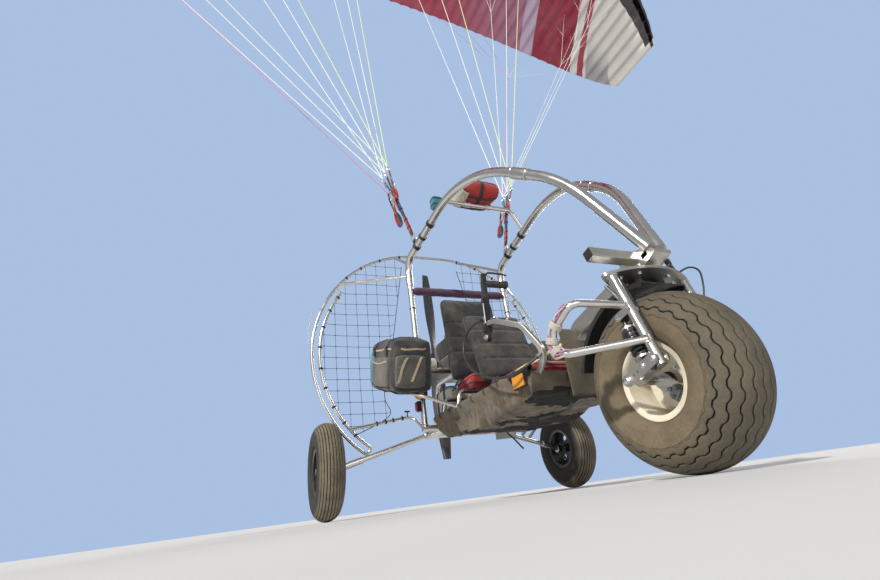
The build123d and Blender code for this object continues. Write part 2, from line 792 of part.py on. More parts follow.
with BuildPart() as arch_web:
    foot = Vector(station(ARCH_POINTS[0][0]), 0, ARCH_POINTS[0][2])
    knee = Vector(station(ARCH_POINTS[1][0]), 0, ARCH_POINTS[1][2])
    rise = (knee - foot).normalized()
    web_slope = (ARCH_POINTS[1][1] - ARCH_POINTS[0][1]) / (knee - foot).length
    web_plane = Plane(origin=tuple(foot), x_dir=(0, 1, 0), z_dir=rise.cross(Vector(0, 1, 0)))
    low, notch, high = 10.0, 95.0, 165.0
    low_y = ARCH_POINTS[0][1] + web_slope * low
    high_y = ARCH_POINTS[0][1] + web_slope * high
    with BuildSketch(web_plane):
        with BuildLine():
            Polyline(
                (-low_y, -low),
                (low_y, -low),
                (high_y, -high),
                (0, -notch),
                (-high_y, -high),
                close=True,
            )
        make_face()
    extrude(amount=WEB_SHEET / 2, both=True)
    cut_by(*arches)
    head_block(BOX_HALF_WIDTH, mode=Mode.SUBTRACT)
save(arch_web, "arch_web")


# Lower frame: the rails with their cross tubes and the tank's tray, welded together
RAIL_POINTS = [
    # station, distance to the side, height, from the rear to the middle of the front
    (REAR_NODE_STATION, RAIL_Y, REAR_NODE_Z),
    (-560.0, RAIL_Y, 330.0),
    (RAIL_FRONT_STATION, RAIL_Y, RAIL_FRONT_Z),
]
CROSS_TUBES = [
    # station, height, distance to each side, radius
    (REAR_NODE_STATION, REAR_NODE_Z, 215.0, REAR_TUBE_R),
    (MAST_STATION, MAST_FOOT_Z, MAST_Y + MAST_R, MAST_R),
]
TANK_TRAY = (-1359.0, 226.0, 320.0, 3.0)
rail_top = REAR_NODE_Z + REAR_TUBE_R

with BuildPart() as lower_frame:
    tube(
        on_side(-1, RAIL_POINTS) + on_side(1, RAIL_POINTS[::-1]),
        [300.0, 70.0, 70.0, 300.0],
        RAIL_R,
    )
    for x, z, half, radius in CROSS_TUBES:
        tube([(station(x), -half, z), (station(x), half, z)], None, radius)
    with BuildSketch(Plane.XY.offset(rail_top)):
        with Locations((station(TANK_TRAY[0]), 0)):
            RectangleRounded(TANK_TRAY[1], TANK_TRAY[2], 12)
    extrude(amount=-TANK_TRAY[3])
save(lower_frame, "lower_frame")

# Side tubes with the seat cradle and the pannier racks
FRONT_SEAT_TUBES = [-820.0, -470.0]
FRONT_SEAT_TUBE_Z = SIDE_TUBE_Z - 2.0
REAR_SEAT_TUBES = [-965.0, -1150.0]
REAR_SEAT_TUBE_Z = 478.0
SIDE_TUBE_POINTS = [
    # station, distance to the side, height
    (-1320.0, RAIL_Y, 357.0),
    (-1270.0, SIDE_TUBE_Y, SIDE_TUBE_Z),
    (-430.0, SIDE_TUBE_Y, SIDE_TUBE_Z),
    (-395.0, RAIL_Y - 30.0, RAIL_FRONT_Z),
]
RACK_POINTS = [
    # station, distance to the side, height
    (-960.0, SIDE_TUBE_Y, SIDE_TUBE_Z),
    (-960.0, 440.0, 468.0),
    (-1236.0, 440.0, 552.0),
    (MAST_STATION, MAST_Y, 552.0),
]
RACK_R = 8.0
with BuildPart() as side_tubes:
    for x in FRONT_SEAT_TUBES:
        cross = [(x, SIDE_TUBE_Y, FRONT_SEAT_TUBE_Z)]
        tube(on_side(-1, cross) + on_side(1, cross), None, SIDE_TUBE_R)
    for x in REAR_SEAT_TUBES:
        hoop = [(x, SIDE_TUBE_Y, SIDE_TUBE_Z), (x, SIDE_TUBE_Y - 20.0, REAR_SEAT_TUBE_Z)]
        tube(on_side(-1, hoop) + on_side(1, hoop[::-1]), [34.0, 34.0], SIDE_TUBE_R)
    for sign in SIDES.values():
        tube(on_side(sign, SIDE_TUBE_POINTS), [50.0, 45.0], SIDE_TUBE_R)
        tube(on_side(sign, RACK_POINTS), [50.0, 50.0], RACK_R)
    cut_by(lower_frame)
save(side_tubes, "side_tubes")

masts = []
for side, sign in SIDES.items():
    with BuildPart() as mast:
        foot = (station(MAST_STATION), sign * MAST_Y, MAST_FOOT_Z)
        tube([foot, (foot[0], foot[1], MAST_JOINT_Z)], None, MAST_R)
        cut_by(lower_frame, side_tubes)
    save(mast, f"mast_{side}")
    masts.append(mast)

KEEL_POINTS = [(-430.0, 345.0), (-340.0, 540.0), (-26.0, 614.0)]
with BuildPart() as keel_beam:
    with BuildLine() as keel_line:
        FilletPolyline(*[(station(x), 0, z) for x, z in KEEL_POINTS], radius=80.0)
    keel_start = Plane(origin=keel_line.line @ 0, x_dir=(0, 1, 0), z_dir=keel_line.line % 0)
    with BuildSketch(keel_start) as keel_section:
        RectangleRounded(KEEL_WIDTH, KEEL_DEPTH, 6)
    sweep(sections=keel_section.sketch, path=keel_line.line)
    head_block(BOX_HALF_WIDTH, mode=Mode.SUBTRACT)
    cut_by(lower_frame, side_tubes)
save(keel_beam, "keel_beam")

# Hang points of the wing on the arches
with BuildPart() as hang_brackets:
    for sign in SIDES.values():
        share = (HANG_STATION - ARCH_POINTS[3][0]) / (MAST_STATION - ARCH_POINTS[3][0])
        arch_drop = ARCH_POINTS[4][2] - ARCH_POINTS[3][2]
        arch_run = MAST_STATION - ARCH_POINTS[3][0]
        foot = Vector(station(HANG_STATION), 0, ARCH_POINTS[3][2] + share * arch_drop)
        spread = Vector(28, 0, 28 * arch_drop / arch_run)
        eye = Vector(station(HANG_STATION), 0, HANG_EYE_Z)
        plate_y = sign * HANG_Y - HANG_SHEET / 2
        plate_between(
            [eye, foot + spread, foot - spread], [16.0, 12.0, 12.0], plate_y, plate_y + HANG_SHEET
        )
    cross_pin(eye, -MAST_Y, MAST_Y, HANG_EYE_R, Mode.SUBTRACT)
    cut_by(*arches)
save(hang_brackets, "hang_brackets")

ROLL_POINTS = [(-870.0, 282.0, 1366.0), (-865.0, 215.0, 1490.0)]
with BuildPart() as roll_bar:
    tube(on_side(-1, ROLL_POINTS) + on_side(1, ROLL_POINTS[::-1]), [60.0, 60.0], ROLL_BAR_R)
    clamp_x, clamp_z = station(ROLL_POINTS[1][0]), ROLL_POINTS[1][2]
    for clamp_y in (-66.0, 66.0):
        low, high = clamp_y - CLAMP_R, clamp_y + CLAMP_R
        tube([(clamp_x, low, clamp_z), (clamp_x, high, clamp_z)], None, CLAMP_R)
    cut_by(*arches)
save(roll_bar, "roll_bar")

with BuildPart() as cross_pad:
    pad = [(MAST_STATION, MAST_Y, PAD_Z)]
    tube(on_side(-1, pad) + on_side(1, pad), None, PAD_R)
    cut_by(*masts)
save(cross_pad, "cross_pad")

# Rear axle beams
axle_beams = []
for side, sign in SIDES.items():
    hub_in = TRACK / 2 + REAR_DISC_Y - REAR_HUB_HALF
    hub_out = TRACK / 2 + REAR_DISC_Y + REAR_HUB_HALF
    beam = [(REAR_NODE_STATION, 200.0, REAR_NODE_Z), (-WHEELBASE, hub_in - 36.0, REAR_TYRE_R + 2)]
    start, end = on_side(sign, beam)
    outward = (Vector(end) - Vector(start)).normalized()
    with BuildPart() as axle_beam:
        tube([start, end], None, AXLE_BEAM_R)
        tube([Vector(end) - outward * 130, end], None, AXLE_SLEEVE_R)
        spindle = [
            # inner end, outer end, radius, each measured from the middle of the machine
            (hub_in - 50, hub_in - 14, KNUCKLE_R),
            (hub_in - 14, hub_in - RUNNING_GAP, SPACER_R),
            (hub_in - RUNNING_GAP, hub_out + RUNNING_GAP, AXLE_R),
            (hub_out + RUNNING_GAP, hub_out + 12, SPACER_R),
        ]
        for near, far, radius in spindle:
            low, high = sorted([sign * near, sign * far])
            cross_pin(Vector(REAR_AXLE, 0, REAR_TYRE_R), low, high, radius)
        cut_by(lower_frame)
    save(axle_beam, f"axle_beam_{side}")
    axle_beams.append(axle_beam)

# Propeller cage
cage_x = station(CAGE_STATION)
inner_cage_r = CAGE_R - CAGE_PAIR_GAP


def on_cage(sign, radius, angle):
    """A point of the cage plane, as side and height, at an angle from the left horizontal."""
    y = CAGE_OFFSET + radius * cos(radians(180 - angle))
    return sign * y, CAGE_Z + radius * sin(radians(angle))


def cage_arc(sign, radius, start, end):
    """Draws an arc of the cage between two angles."""
    middle = (start + end) / 2
    ThreePointArc(
        on_cage(sign, radius, start), on_cage(sign, radius, middle), on_cage(sign, radius, end)
    )


with BuildPart() as cage_hoop:
    with BuildLine(cross_plane(cage_x)) as hoop_line:
        for sign in SIDES.values():
            mid_r = CAGE_R - CAGE_PAIR_GAP / 2
            turn = radians(CAGE_END_ANGLE)
            bend_y, bend_z = on_cage(sign, mid_r, CAGE_END_ANGLE)
            bend = (
                bend_y + sign * CAGE_PAIR_GAP / 2 * sin(turn),
                bend_z + CAGE_PAIR_GAP / 2 * cos(turn),
            )
            cage_arc(sign, inner_cage_r, CAGE_INNER_ANGLE, CAGE_END_ANGLE)
            ThreePointArc(
                on_cage(sign, inner_cage_r, CAGE_END_ANGLE),
                bend,
                on_cage(sign, CAGE_R, CAGE_END_ANGLE),
            )
            cage_arc(sign, CAGE_R, CAGE_END_ANGLE, 90.0)
        Line(on_cage(-1, CAGE_R, 90.0), on_cage(1, CAGE_R, 90.0))
    hoop_path = hoop_line.wires()[0]
    with BuildSketch(Plane(origin=hoop_path @ 0, z_dir=hoop_path % 0)) as hoop_section:
        Circle(CAGE_TUBE_R)
    sweep(sections=hoop_section.sketch, path=hoop_path)
    for sign in SIDES.values():
        near = on_cage(sign, inner_cage_r, CAGE_INNER_ANGLE)
        far = on_cage(sign, CAGE_R, CAGE_INNER_ANGLE)
        tube([(cage_x, *near), (cage_x, *far)], None, CAGE_TUBE_R)
save(cage_hoop, "cage_hoop")

BRACE_RUNS = [
    # two to three points each, as station, distance to the side and height
    [(CAGE_STATION, 629.0, 1328.0), (MAST_STATION, MAST_Y, 1212.0)],
    [(CAGE_STATION, 250.0, 1556.0), (MAST_STATION, MAST_Y, 1296.0)],
    [(CAGE_STATION, 600.0, 439.5), (CAGE_STATION, 229.0, 493.0), (-1478.0, RAIL_Y, REAR_NODE_Z)],
    [(CAGE_STATION, 526.0, 314.0), (-1517.0, 526.0, 277.0)],
]
with BuildPart() as cage_braces:
    for sign in SIDES.values():
        for run in BRACE_RUNS:
            tube(on_side(sign, run), 60.0, CAGE_TUBE_R)
    cut_by(cage_hoop, *masts, *arches, lower_frame, side_tubes, *axle_beams)
save(cage_braces, "cage_braces")

NET_EDGE = [(205.0, 1490.0), (315.0, 934.0), (387.0, 635.0), (366.0, 511.0)]
NET_FOOT_ANGLE = 224.0
NET_STEP_ANGLES = (141.6, 139.0)
NET_TOP_ANGLE = 100.0


def net_outline(sign):
    """Draws one net's outline: its free edge, then along the inside of the hoop."""
    low, high = NET_STEP_ANGLES
    edge = [(sign * y, z) for y, z in NET_EDGE]
    inner_r = inner_cage_r - CAGE_TUBE_R
    outer_r = CAGE_R - CAGE_TUBE_R
    Polyline(*edge, on_cage(sign, inner_r, NET_FOOT_ANGLE))
    cage_arc(sign, inner_r, NET_FOOT_ANGLE, low)
    Line(on_cage(sign, inner_r, low), on_cage(sign, outer_r, high))
    cage_arc(sign, outer_r, high, NET_TOP_ANGLE)
    Line(on_cage(sign, outer_r, NET_TOP_ANGLE), edge[0])


with BuildPart() as cage_nets:
    net_plane = cross_plane(cage_x - NET_CORD / 2)
    for sign in SIDES.values():
        with BuildSketch(net_plane):
            with BuildLine():
                net_outline(sign)
            make_face()
            offset(amount=-NET_ROPE, mode=Mode.SUBTRACT)
        extrude(amount=NET_CORD)
        with BuildSketch(net_plane):
            with BuildLine():
                net_outline(sign)
            make_face()
            with BuildSketch(mode=Mode.INTERSECT):
                with Locations((sign * NET_EDGE[2][0], CAGE_Z)):
                    with GridLocations(NET_MESH, 0, 11, 1):
                        Rectangle(NET_CORD, 2 * CAGE_R)
                    with GridLocations(0, NET_MESH, 1, 21):
                        Rectangle(2 * CAGE_R, NET_CORD)
        extrude(amount=NET_CORD)
    cut_by(cage_hoop, cage_braces)
save(cage_nets, "cage_nets")


# Propeller and engine
BLADE_SECTIONS = [
    # share of the radius, chord, thickness, twist from the propeller's plane
    (0.05, 58.0, 30.0, 62.0),
    (0.30, 96.0, 17.0, 38.0),
    (0.65, 88.0, 11.0, 22.0),
    (1.00, 46.0, 6.0, 14.0),
]
prop_hub = Vector(station(PROP_STATION), 0, CAGE_Z)
with BuildPart() as propeller:
    with BuildSketch(cross_plane(prop_hub.X - PROP_HUB_LENGTH / 2)):
        with Locations((0, CAGE_Z)):
            Circle(PROP_HUB_R)
    extrude(amount=PROP_HUB_LENGTH)
    for blade in (-1, 1):
        for share, chord, thickness, twist in BLADE_SECTIONS:
            slant = radians(twist)
            lay = (-blade * sin(slant), cos(slant), 0)
            at = (prop_hub.X, 0, CAGE_Z + blade * share * PROP_R)
            with BuildSketch(Plane(origin=at, x_dir=lay, z_dir=(0, 0, blade))):
                with BuildLine():
                    lead, trail = (-chord / 2, 0), (chord / 2, 0)
                    ThreePointArc(lead, (-chord / 10, thickness * 0.7), trail)
                    ThreePointArc(trail, (-chord / 10, -thickness * 0.3), lead)
                make_face()
        loft()
    with BuildSketch(cross_plane(prop_hub.X - PROP_HUB_LENGTH)):
        with Locations((0, CAGE_Z)):
            Circle(PROP_SHAFT_R + RUNNING_GAP)
    extrude(amount=2 * PROP_HUB_LENGTH, mode=Mode.SUBTRACT)
save(propeller, "propeller")

bearer_top = BEARER_Z + BEARER_R
with BuildPart() as engine_mount:
    mount_cross = [(MAST_STATION, MAST_Y, BEARER_Z)]
    tube(on_side(-1, mount_cross) + on_side(1, mount_cross), None, BEARER_R + 2)
    for sign in SIDES.values():
        bearer = [
            (MAST_STATION, BEARER_Y, BEARER_Z),
            (BEARER_END_STATION, BEARER_Y, BEARER_Z),
            (REAR_NODE_STATION, BEARER_Y, REAR_NODE_Z),
        ]
        tube(on_side(sign, bearer), 60.0, BEARER_R)
    cut_by(*masts, lower_frame, side_tubes)
save(engine_mount, "engine_mount")

with BuildPart() as engine:
    length, width, height = CRANKCASE
    with BuildSketch(Plane.XY.offset(bearer_top)):
        with Locations((station(ENGINE_STATION), 0)):
            RectangleRounded(length, width + 2 * BEARER_R, 14)
    extrude(amount=8)
    with BuildSketch(cross_plane(station(ENGINE_STATION) - length / 2)):
        with Locations((0, CRANK_Z)):
            RectangleRounded(width, height, 40)
    extrude(amount=length)
    cylinder_base = CRANK_Z + height / 2 - 4
    cylinder_x = station(ENGINE_STATION) + 18
    for turn in range(FINS):
        with BuildSketch(Plane.XY.offset(cylinder_base + FIN_SHEET + turn * FIN_PITCH)):
            with Locations((cylinder_x, 0)):
                RectangleRounded(2 * FIN_R, 2 * FIN_R - 8, 22)
        extrude(amount=FIN_SHEET)
    with BuildSketch(Plane.XY.offset(cylinder_base)):
        with Locations((cylinder_x, 0)):
            Circle(CYLINDER_R)
    extrude(amount=FINS * FIN_PITCH + 24)
    with BuildSketch(cross_plane(station(ENGINE_STATION) + length / 2)):
        with Locations((0, CRANK_Z)):
            Circle(height / 2 - 6)
    extrude(amount=26)
    carb_y = -width / 2 + 4
    with BuildSketch(side_plane(carb_y)):
        with Locations((station(ENGINE_STATION) - 20, CRANK_Z + 18)):
            Circle(24)
    extrude(amount=44)
    with BuildSketch(side_plane(carb_y - 44)):
        with Locations((station(ENGINE_STATION) - 20, CRANK_Z + 18)):
            Circle(38)
    extrude(amount=70)
save(engine, "engine")

with BuildPart() as redrive:
    rear_face = station(ENGINE_STATION) - CRANKCASE[0] / 2
    with BuildSketch(cross_plane(rear_face)):
        with Locations((0, CRANK_Z)):
            Circle(46)
        with Locations((0, CAGE_Z)):
            Circle(62)
        make_hull()
    extrude(amount=-REDRIVE_SHEET)
    nose = 36.0
    with BuildSketch(cross_plane(rear_face - REDRIVE_SHEET)):
        with Locations((0, CAGE_Z)):
            Circle(38)
    extrude(amount=-nose)
    shaft_start = rear_face - REDRIVE_SHEET - nose
    with BuildSketch(cross_plane(shaft_start)):
        with Locations((0, CAGE_Z)):
            Circle(PROP_SHAFT_R)
    extrude(amount=prop_hub.X - PROP_HUB_LENGTH / 2 - shaft_start)
save(redrive, "redrive")

EXHAUST_RUN = [
    # station, distance to the side, height
    (-1422.0, 50.0, 856.0),
    (-1422.0, 176.0, 856.0),
    (-1422.0, 200.0, 700.0),
]
MUFFLER_R = 52.0
MUFFLER_LENGTH = 250.0
TAILPIPE_R = 14.0
TAILPIPE_LENGTH = 40.0
with BuildPart() as exhaust:
    muffler_start = station(-1530.0)
    muffler_at = EXHAUST_RUN[-1][1:]
    tube(on_side(1, EXHAUST_RUN), MUFFLER_R, 18.0)
    with BuildSketch(cross_plane(muffler_start)):
        with Locations(muffler_at):
            Circle(MUFFLER_R)
    extrude(amount=MUFFLER_LENGTH)
    with BuildSketch(cross_plane(muffler_start)):
        with Locations(muffler_at):
            Circle(TAILPIPE_R)
    extrude(amount=-TAILPIPE_LENGTH)
    cut_by(engine)
save(exhaust, "exhaust")

TANK_HEIGHT = 190.0
with BuildPart() as fuel_tank:
    with BuildSketch(Plane.XY.offset(rail_top)):
        with Locations((station(-1352.0), 0)):
            RectangleRounded(186.0, 300.0, 28)
    extrude(amount=TANK_HEIGHT)
    fillet(fuel_tank.edges().group_by(Axis.Z)[-1], 18.0)
    with BuildSketch(Plane.XY.offset(rail_top + TANK_HEIGHT)):
        with Locations((station(-1352.0), -90.0)):
            Circle(32)
    extrude(amount=22.0)
save(fuel_tank, "fuel_tank")


# Seats, bags and other soft pieces
FRONT_SEAT_OUTLINE = [
    # station, height
    (-440.0, 414.0),
    (-430.0, 440.0),
    (-455.0, 470.0),
    (-800.0, 470.0),
    (-935.0, 880.0),
    (-985.0, 872.0),
    (-856.0, 414.0),
]
REAR_SEAT_OUTLINE = [
    # station, height
    (-930.0, 489.0),
    (-918.0, 520.0),
    (-945.0, 560.0),
    (-1126.0, 566.0),
    (-1160.0, 1075.0),
    (-1208.0, 1072.0),
    (-1188.0, 489.0),
]
with BuildPart() as front_seat:
    profile_across(FRONT_SEAT_OUTLINE, SEAT_HALF_WIDTH)
save(front_seat, "front_seat")

with BuildPart() as rear_seat:
    profile_across(REAR_SEAT_OUTLINE, SEAT_HALF_WIDTH)
save(rear_seat, "rear_seat")

for side, sign in SIDES.items():
    pitch = radians(PANNIER_PITCH)
    length, width, height = PANNIER
    with BuildPart() as pannier:
        centre = Vector(on_side(sign, [PANNIER_CENTRE])[0])
        inner_side = centre - Vector(0, width / 2, 0)
        lengthwise = (cos(pitch), 0, -sin(pitch))
        with BuildSketch(Plane(origin=inner_side, x_dir=lengthwise, z_dir=(0, 1, 0))):
            RectangleRounded(length, height, PANNIER_CORNER_R)
        extrude(amount=width)
        cut_by(side_tubes)
    save(pannier, f"pannier_{side}")

with BuildPart() as rescue_pack:
    with BuildSketch(Plane.XY.offset(ROLL_POINTS[1][2] + CLAMP_R)):
        with Locations((station(RESCUE_STATION), 0)):
            RectangleRounded(RESCUE_PACK[0], RESCUE_PACK[1], RESCUE_CORNER_R)
    extrude(amount=RESCUE_PACK[2])
    fillet(rescue_pack.edges().group_by(Axis.Z)[-1], RESCUE_EDGE_R)
save(rescue_pack, "rescue_pack")

with BuildPart() as tool_pouch:
    with BuildSketch(Plane.XY.offset(POUCH_AT[2])):
        with Locations((station(POUCH_AT[0]), POUCH_AT[1])):
            RectangleRounded(POUCH[0], POUCH[1], POUCH_CORNER_R)
    extrude(amount=POUCH[2])
    cut_by(roll_bar, *arches)
save(tool_pouch, "tool_pouch")

with BuildPart() as mud_flap:
    with BuildSketch(cross_plane(station(MUD_FLAP_STATION))):
        with Locations((0, MUD_FLAP_Z)):
            RectangleRounded(*MUD_FLAP, FLAP_CORNER_R)
    extrude(amount=FLAP_SHEET)
    cut_by(keel_beam)
save(mud_flap, "mud_flap")

# Controls beside the front seat
ARM_POINTS = [
    # station, distance to the side, height
    (-545.0, 270.0, 640.0),
    (-470.0, 270.0, 628.0),
    (-346.0, 240.0, 560.0),
    (-290.0, 205.0, 441.0),
    (-425.0, 190.0, 345.0),
]
LEVER_LINE = [(-543.0, 586.0), (-496.0, 839.0)]
LEVER_Y = -270.0
LEVER_HALF_WIDTH = 8.0
LEVER_RADII = [17.0, 10.0]
GRIP_Z = 805.0
GRIP_R = 13.0
GRIP_REACH = 104.0
ARM_GLAND = (-303.0, -205.0, 449.0)
LEVER_GLAND = (-528.0, LEVER_Y, 664.0)
HOSE_POINTS = [
    # station, distance to the side, height
    (-562.0, 276.0, 668.0),
    (-630.0, 284.0, 676.0),
    (-690.0, 297.0, 640.0),
    (-703.0, 308.0, 575.0),
    (-661.0, 317.0, 505.0),
    (-585.0, 320.0, 450.0),
    (-500.0, 314.0, 408.0),
    (-415.0, 300.0, 388.0),
    (-345.0, 272.0, 398.0),
    (-308.0, 232.0, 428.0),
]
hose_route = [Vector(point) for point in on_side(-1, HOSE_POINTS)]


def cord_radii(points):
    """The bend radius at each inner point of a route, as large as its two runs allow."""
    radii = []
    for before, here, after in zip(points, points[1:], points[2:]):
        turn = radians((here - before).get_angle(after - here))
        shorter = min((here - before).length, (after - here).length)
        radii.append(0.45 * shorter / tan(turn / 2))
    return radii


with BuildPart() as control_arm:
    with BuildLine() as arm_line:
        FilletPolyline(*on_side(-1, ARM_POINTS), radius=[60.0, 60.0, 50.0])
    arm_start = Plane(origin=arm_line.line @ 0, x_dir=(0, 1, 0), z_dir=arm_line.line % 0)
    with BuildSketch(arm_start) as arm_section:
        RectangleRounded(ARM_SQUARE, ARM_SQUARE, ARM_CORNER_R)
    sweep(sections=arm_section.sketch, path=arm_line.line)
    tube([hose_route[-1], (station(ARM_GLAND[0]), *ARM_GLAND[1:])], None, GLAND_R)
    cut_by(lower_frame, side_tubes)
save(control_arm, "control_arm")

with BuildPart() as throttle_lever:
    low = Vector(station(LEVER_LINE[0][0]), 0, LEVER_LINE[0][1])
    high = Vector(station(LEVER_LINE[1][0]), 0, LEVER_LINE[1][1])
    plate_between(
        [low, high], LEVER_RADII, LEVER_Y - LEVER_HALF_WIDTH, LEVER_Y + LEVER_HALF_WIDTH
    )
    grip = low + (high - low) * ((GRIP_Z - low.Z) / (high.Z - low.Z))
    cross_pin(grip, LEVER_Y - 4, LEVER_Y + GRIP_REACH, GRIP_R)
    tube([hose_route[0], (station(LEVER_GLAND[0]), *LEVER_GLAND[1:])], None, GLAND_R)
    cut_by(control_arm)
save(throttle_lever, "throttle_lever")

with BuildPart() as control_hose:
    hose_radii = cord_radii(hose_route)
    tube(hose_route, hose_radii, HOSE_R)
    cut_by(throttle_lever, control_arm)
save(control_hose, "control_hose")
print("hose radii", [round(radius) for radius in hose_radii])

BAG_RIM_Z = 395.0
BAG_SECTION = [
    # distance to the side, height, below the rim
    (236.0, 330.0),
    (190.0, 262.0),
]
BAG_SIDE = [
    # station, height of the bag's bottom
    (BAG_FRONT_STATION, 318.0),
    (-620.0, 268.0),
    (-1120.0, 282.0),
    (BAG_REAR_STATION, 318.0),
]


def trough(inset, extra_top, mode):
    """Adds or cuts the trough of the belly bag, drawn in by a sheet."""
    half = [(230.0 - inset, BAG_RIM_Z + extra_top)]
    half += [(y - inset, z + inset) for y, z in BAG_SECTION]
    with BuildSketch(cross_plane(station(BAG_REAR_STATION) + inset)) as section:
        with BuildLine() as outline:
            Polyline(*[(-y, z) for y, z in half], *half[::-1], close=True)
        make_face(outline.edges())
    low = [(x, z + inset) for x, z in BAG_SIDE]
    with BuildSketch(side_plane(300)) as profile:
        with BuildLine() as outline:
            rim = [(BAG_REAR_STATION, 500.0), (BAG_FRONT_STATION, 500.0)]
            Polyline(*[(station(x), z) for x, z in rim + low], close=True)
        make_face(outline.edges())
    length = BAG_FRONT_STATION - BAG_REAR_STATION - 2 * inset
    across = extrude(to_extrude=profile.sketch, amount=600, mode=Mode.PRIVATE)
    along = extrude(to_extrude=section.sketch, amount=length, mode=Mode.PRIVATE)
    add(along & across, mode=mode)


with BuildPart() as belly_bag:
    trough(0.0, 0.0, Mode.ADD)
    trough(BAG_SHEET, 30.0, Mode.SUBTRACT)
    cut_by(lower_frame, side_tubes, *masts, keel_beam, control_arm)
save(belly_bag, "belly_bag")


# Wing: the arched canopy, its lines and its risers
PROFILE = [
    # share of the chord behind the nose, share of the chord above the hang line, side of the skin
    (0.012, 0.000, 0),
    (0.000, 0.025, 0),
    (0.030, 0.075, 1),
    (0.120, 0.130, 1),
    (0.300, 0.155, 1),
    (0.550, 0.115, 1),
    (0.800, 0.050, 1),
    (1.000, 0.000, 0),
    (0.550, -0.008, -1),
    (0.250, -0.015, -1),
    (0.060, -0.012, 0),
]
incidence = radians(WING_INCIDENCE)
arc_angle = asin(WING_HALF_WIDTH / WING_RADIUS)


def wing_chord(share):
    """The chord at a share of the half span."""
    return CENTRE_CHORD * sqrt(1 - (TIP_ROUNDING * share) ** 2)


def wing_plane(share):
    """The plane of a rib: local x runs forward along the chord, local y out of the top skin."""
    angle = share * arc_angle
    out = Vector(0, sin(angle), cos(angle))
    at = Vector(station(WING_STATION - TIP_SWEEP * share**4), 0, ARCH_CENTRE_Z) + out * WING_RADIUS
    forward = Vector(cos(incidence), 0, 0) + out * sin(incidence)
    return Plane(origin=at, x_dir=forward, z_dir=(0, -cos(angle), sin(angle)))


def rib_points(share, bulge):
    """The rib's outline from the upper lip of the intake round to the lower lip."""
    chord = wing_chord(share)
    return [((HANG_CHORD - x) * chord, (z + side * bulge) * chord) for x, z, side in PROFILE]


def drawn_in(points, sheet):
    """The same outline moved inwards by the skin's thickness."""
    moved = []
    for here, before, after in zip(points, points[:1] + points[:-1], points[1:] + points[-1:]):
        sides = []
        for start, end in ((before, here), (here, after)):
            run = hypot(end[0] - start[0], end[1] - start[1])
            if run:
                sides.append((-(end[1] - start[1]) / run, (end[0] - start[0]) / run))
        across = (sum(side[0] for side in sides), sum(side[1] for side in sides))
        size = hypot(*across)
        across = (across[0] / size, across[1] / size)
        reach = sheet / (across[0] * sides[0][0] + across[1] * sides[0][1])
        moved.append((here[0] + across[0] * reach, here[1] + across[1] * reach))
    return moved


with BuildPart() as canopy:
    for step in range(2 * CELLS + 1):
        share = step / CELLS - 1
        skin = rib_points(share, CELL_BULGE * (step % 2))
        with BuildSketch(wing_plane(share)):
            with BuildLine():
                Polyline(*skin, *drawn_in(skin, CANOPY_SKIN)[::-1], close=True)
            make_face()
    loft(ruled=True)
    for share in (-1, 1):
        with BuildSketch(wing_plane(share)):
            with BuildLine():
                Polyline(*rib_points(share, 0), close=True)
            make_face()
        extrude(amount=-share * CANOPY_SKIN)
save(canopy, "canopy")

RISER_LINES = [
    # place of the finger fore and aft, share of the chord where its lines meet the skin
    (FINGER_SPREAD, 0.10),
    (0.0, 0.30),
    (-FINGER_SPREAD, 0.55),
]
LINE_RIBS = (4, 16, 28)
FINGER_FORK = 330.0
RING_SIZE = (31.0, 54.0, 7.0)


def riser_plane(sign):
    """A plane through the hang eye: local x runs forward, local y up the riser."""
    eye = Vector(station(HANG_STATION), sign * HANG_Y, HANG_EYE_Z)
    up = (Vector(on_side(sign, [RISER_TOP])[0]) - eye).normalized()
    across = Vector(1, 0, 0).cross(up).normalized()
    return Plane(origin=eye, x_dir=up.cross(across), z_dir=across)


riser_length = hypot(
    RISER_TOP[0] - HANG_STATION, RISER_TOP[1] - HANG_Y, RISER_TOP[2] - HANG_EYE_Z
)
with BuildPart() as risers:
    for sign in SIDES.values():
        plane = riser_plane(sign)
        link_plane = Plane(origin=plane.origin, x_dir=plane.z_dir, z_dir=plane.x_dir)
        ring_width, ring_length, ring_wire = RING_SIZE
        with BuildSketch(link_plane.offset(-ring_wire / 2)):
            with Locations((0, -(ring_length / 2 - ring_wire / 2))):
                RectangleRounded(ring_width, ring_length, ring_width / 2 - 1)
                RectangleRounded(
                    ring_width - 2 * ring_wire,
                    ring_length - 2 * ring_wire,
                    ring_width / 2 - ring_wire - 1,
                    mode=Mode.SUBTRACT,
                )
        extrude(amount=ring_wire)
        half = RISER_WIDTH / 2
        strap_start = ring_length - 2 * ring_wire
        with BuildSketch(plane.offset(-RISER_SHEET / 2)):
            with BuildLine():
                Polyline(
                    (-half, strap_start),
                    (half, strap_start),
                    (half, FINGER_FORK),
                    (-half, FINGER_FORK),
                    close=True,
                )
            make_face()
            for place, chord_share in RISER_LINES:
                with BuildLine():
                    Polyline(
                        (-half, FINGER_FORK - half),
                        (half, FINGER_FORK - half),
                        (place + half / 2, riser_length),
                        (place - half / 2, riser_length),
                        close=True,
                    )
                make_face()
        extrude(amount=RISER_SHEET)
save(risers, "risers")

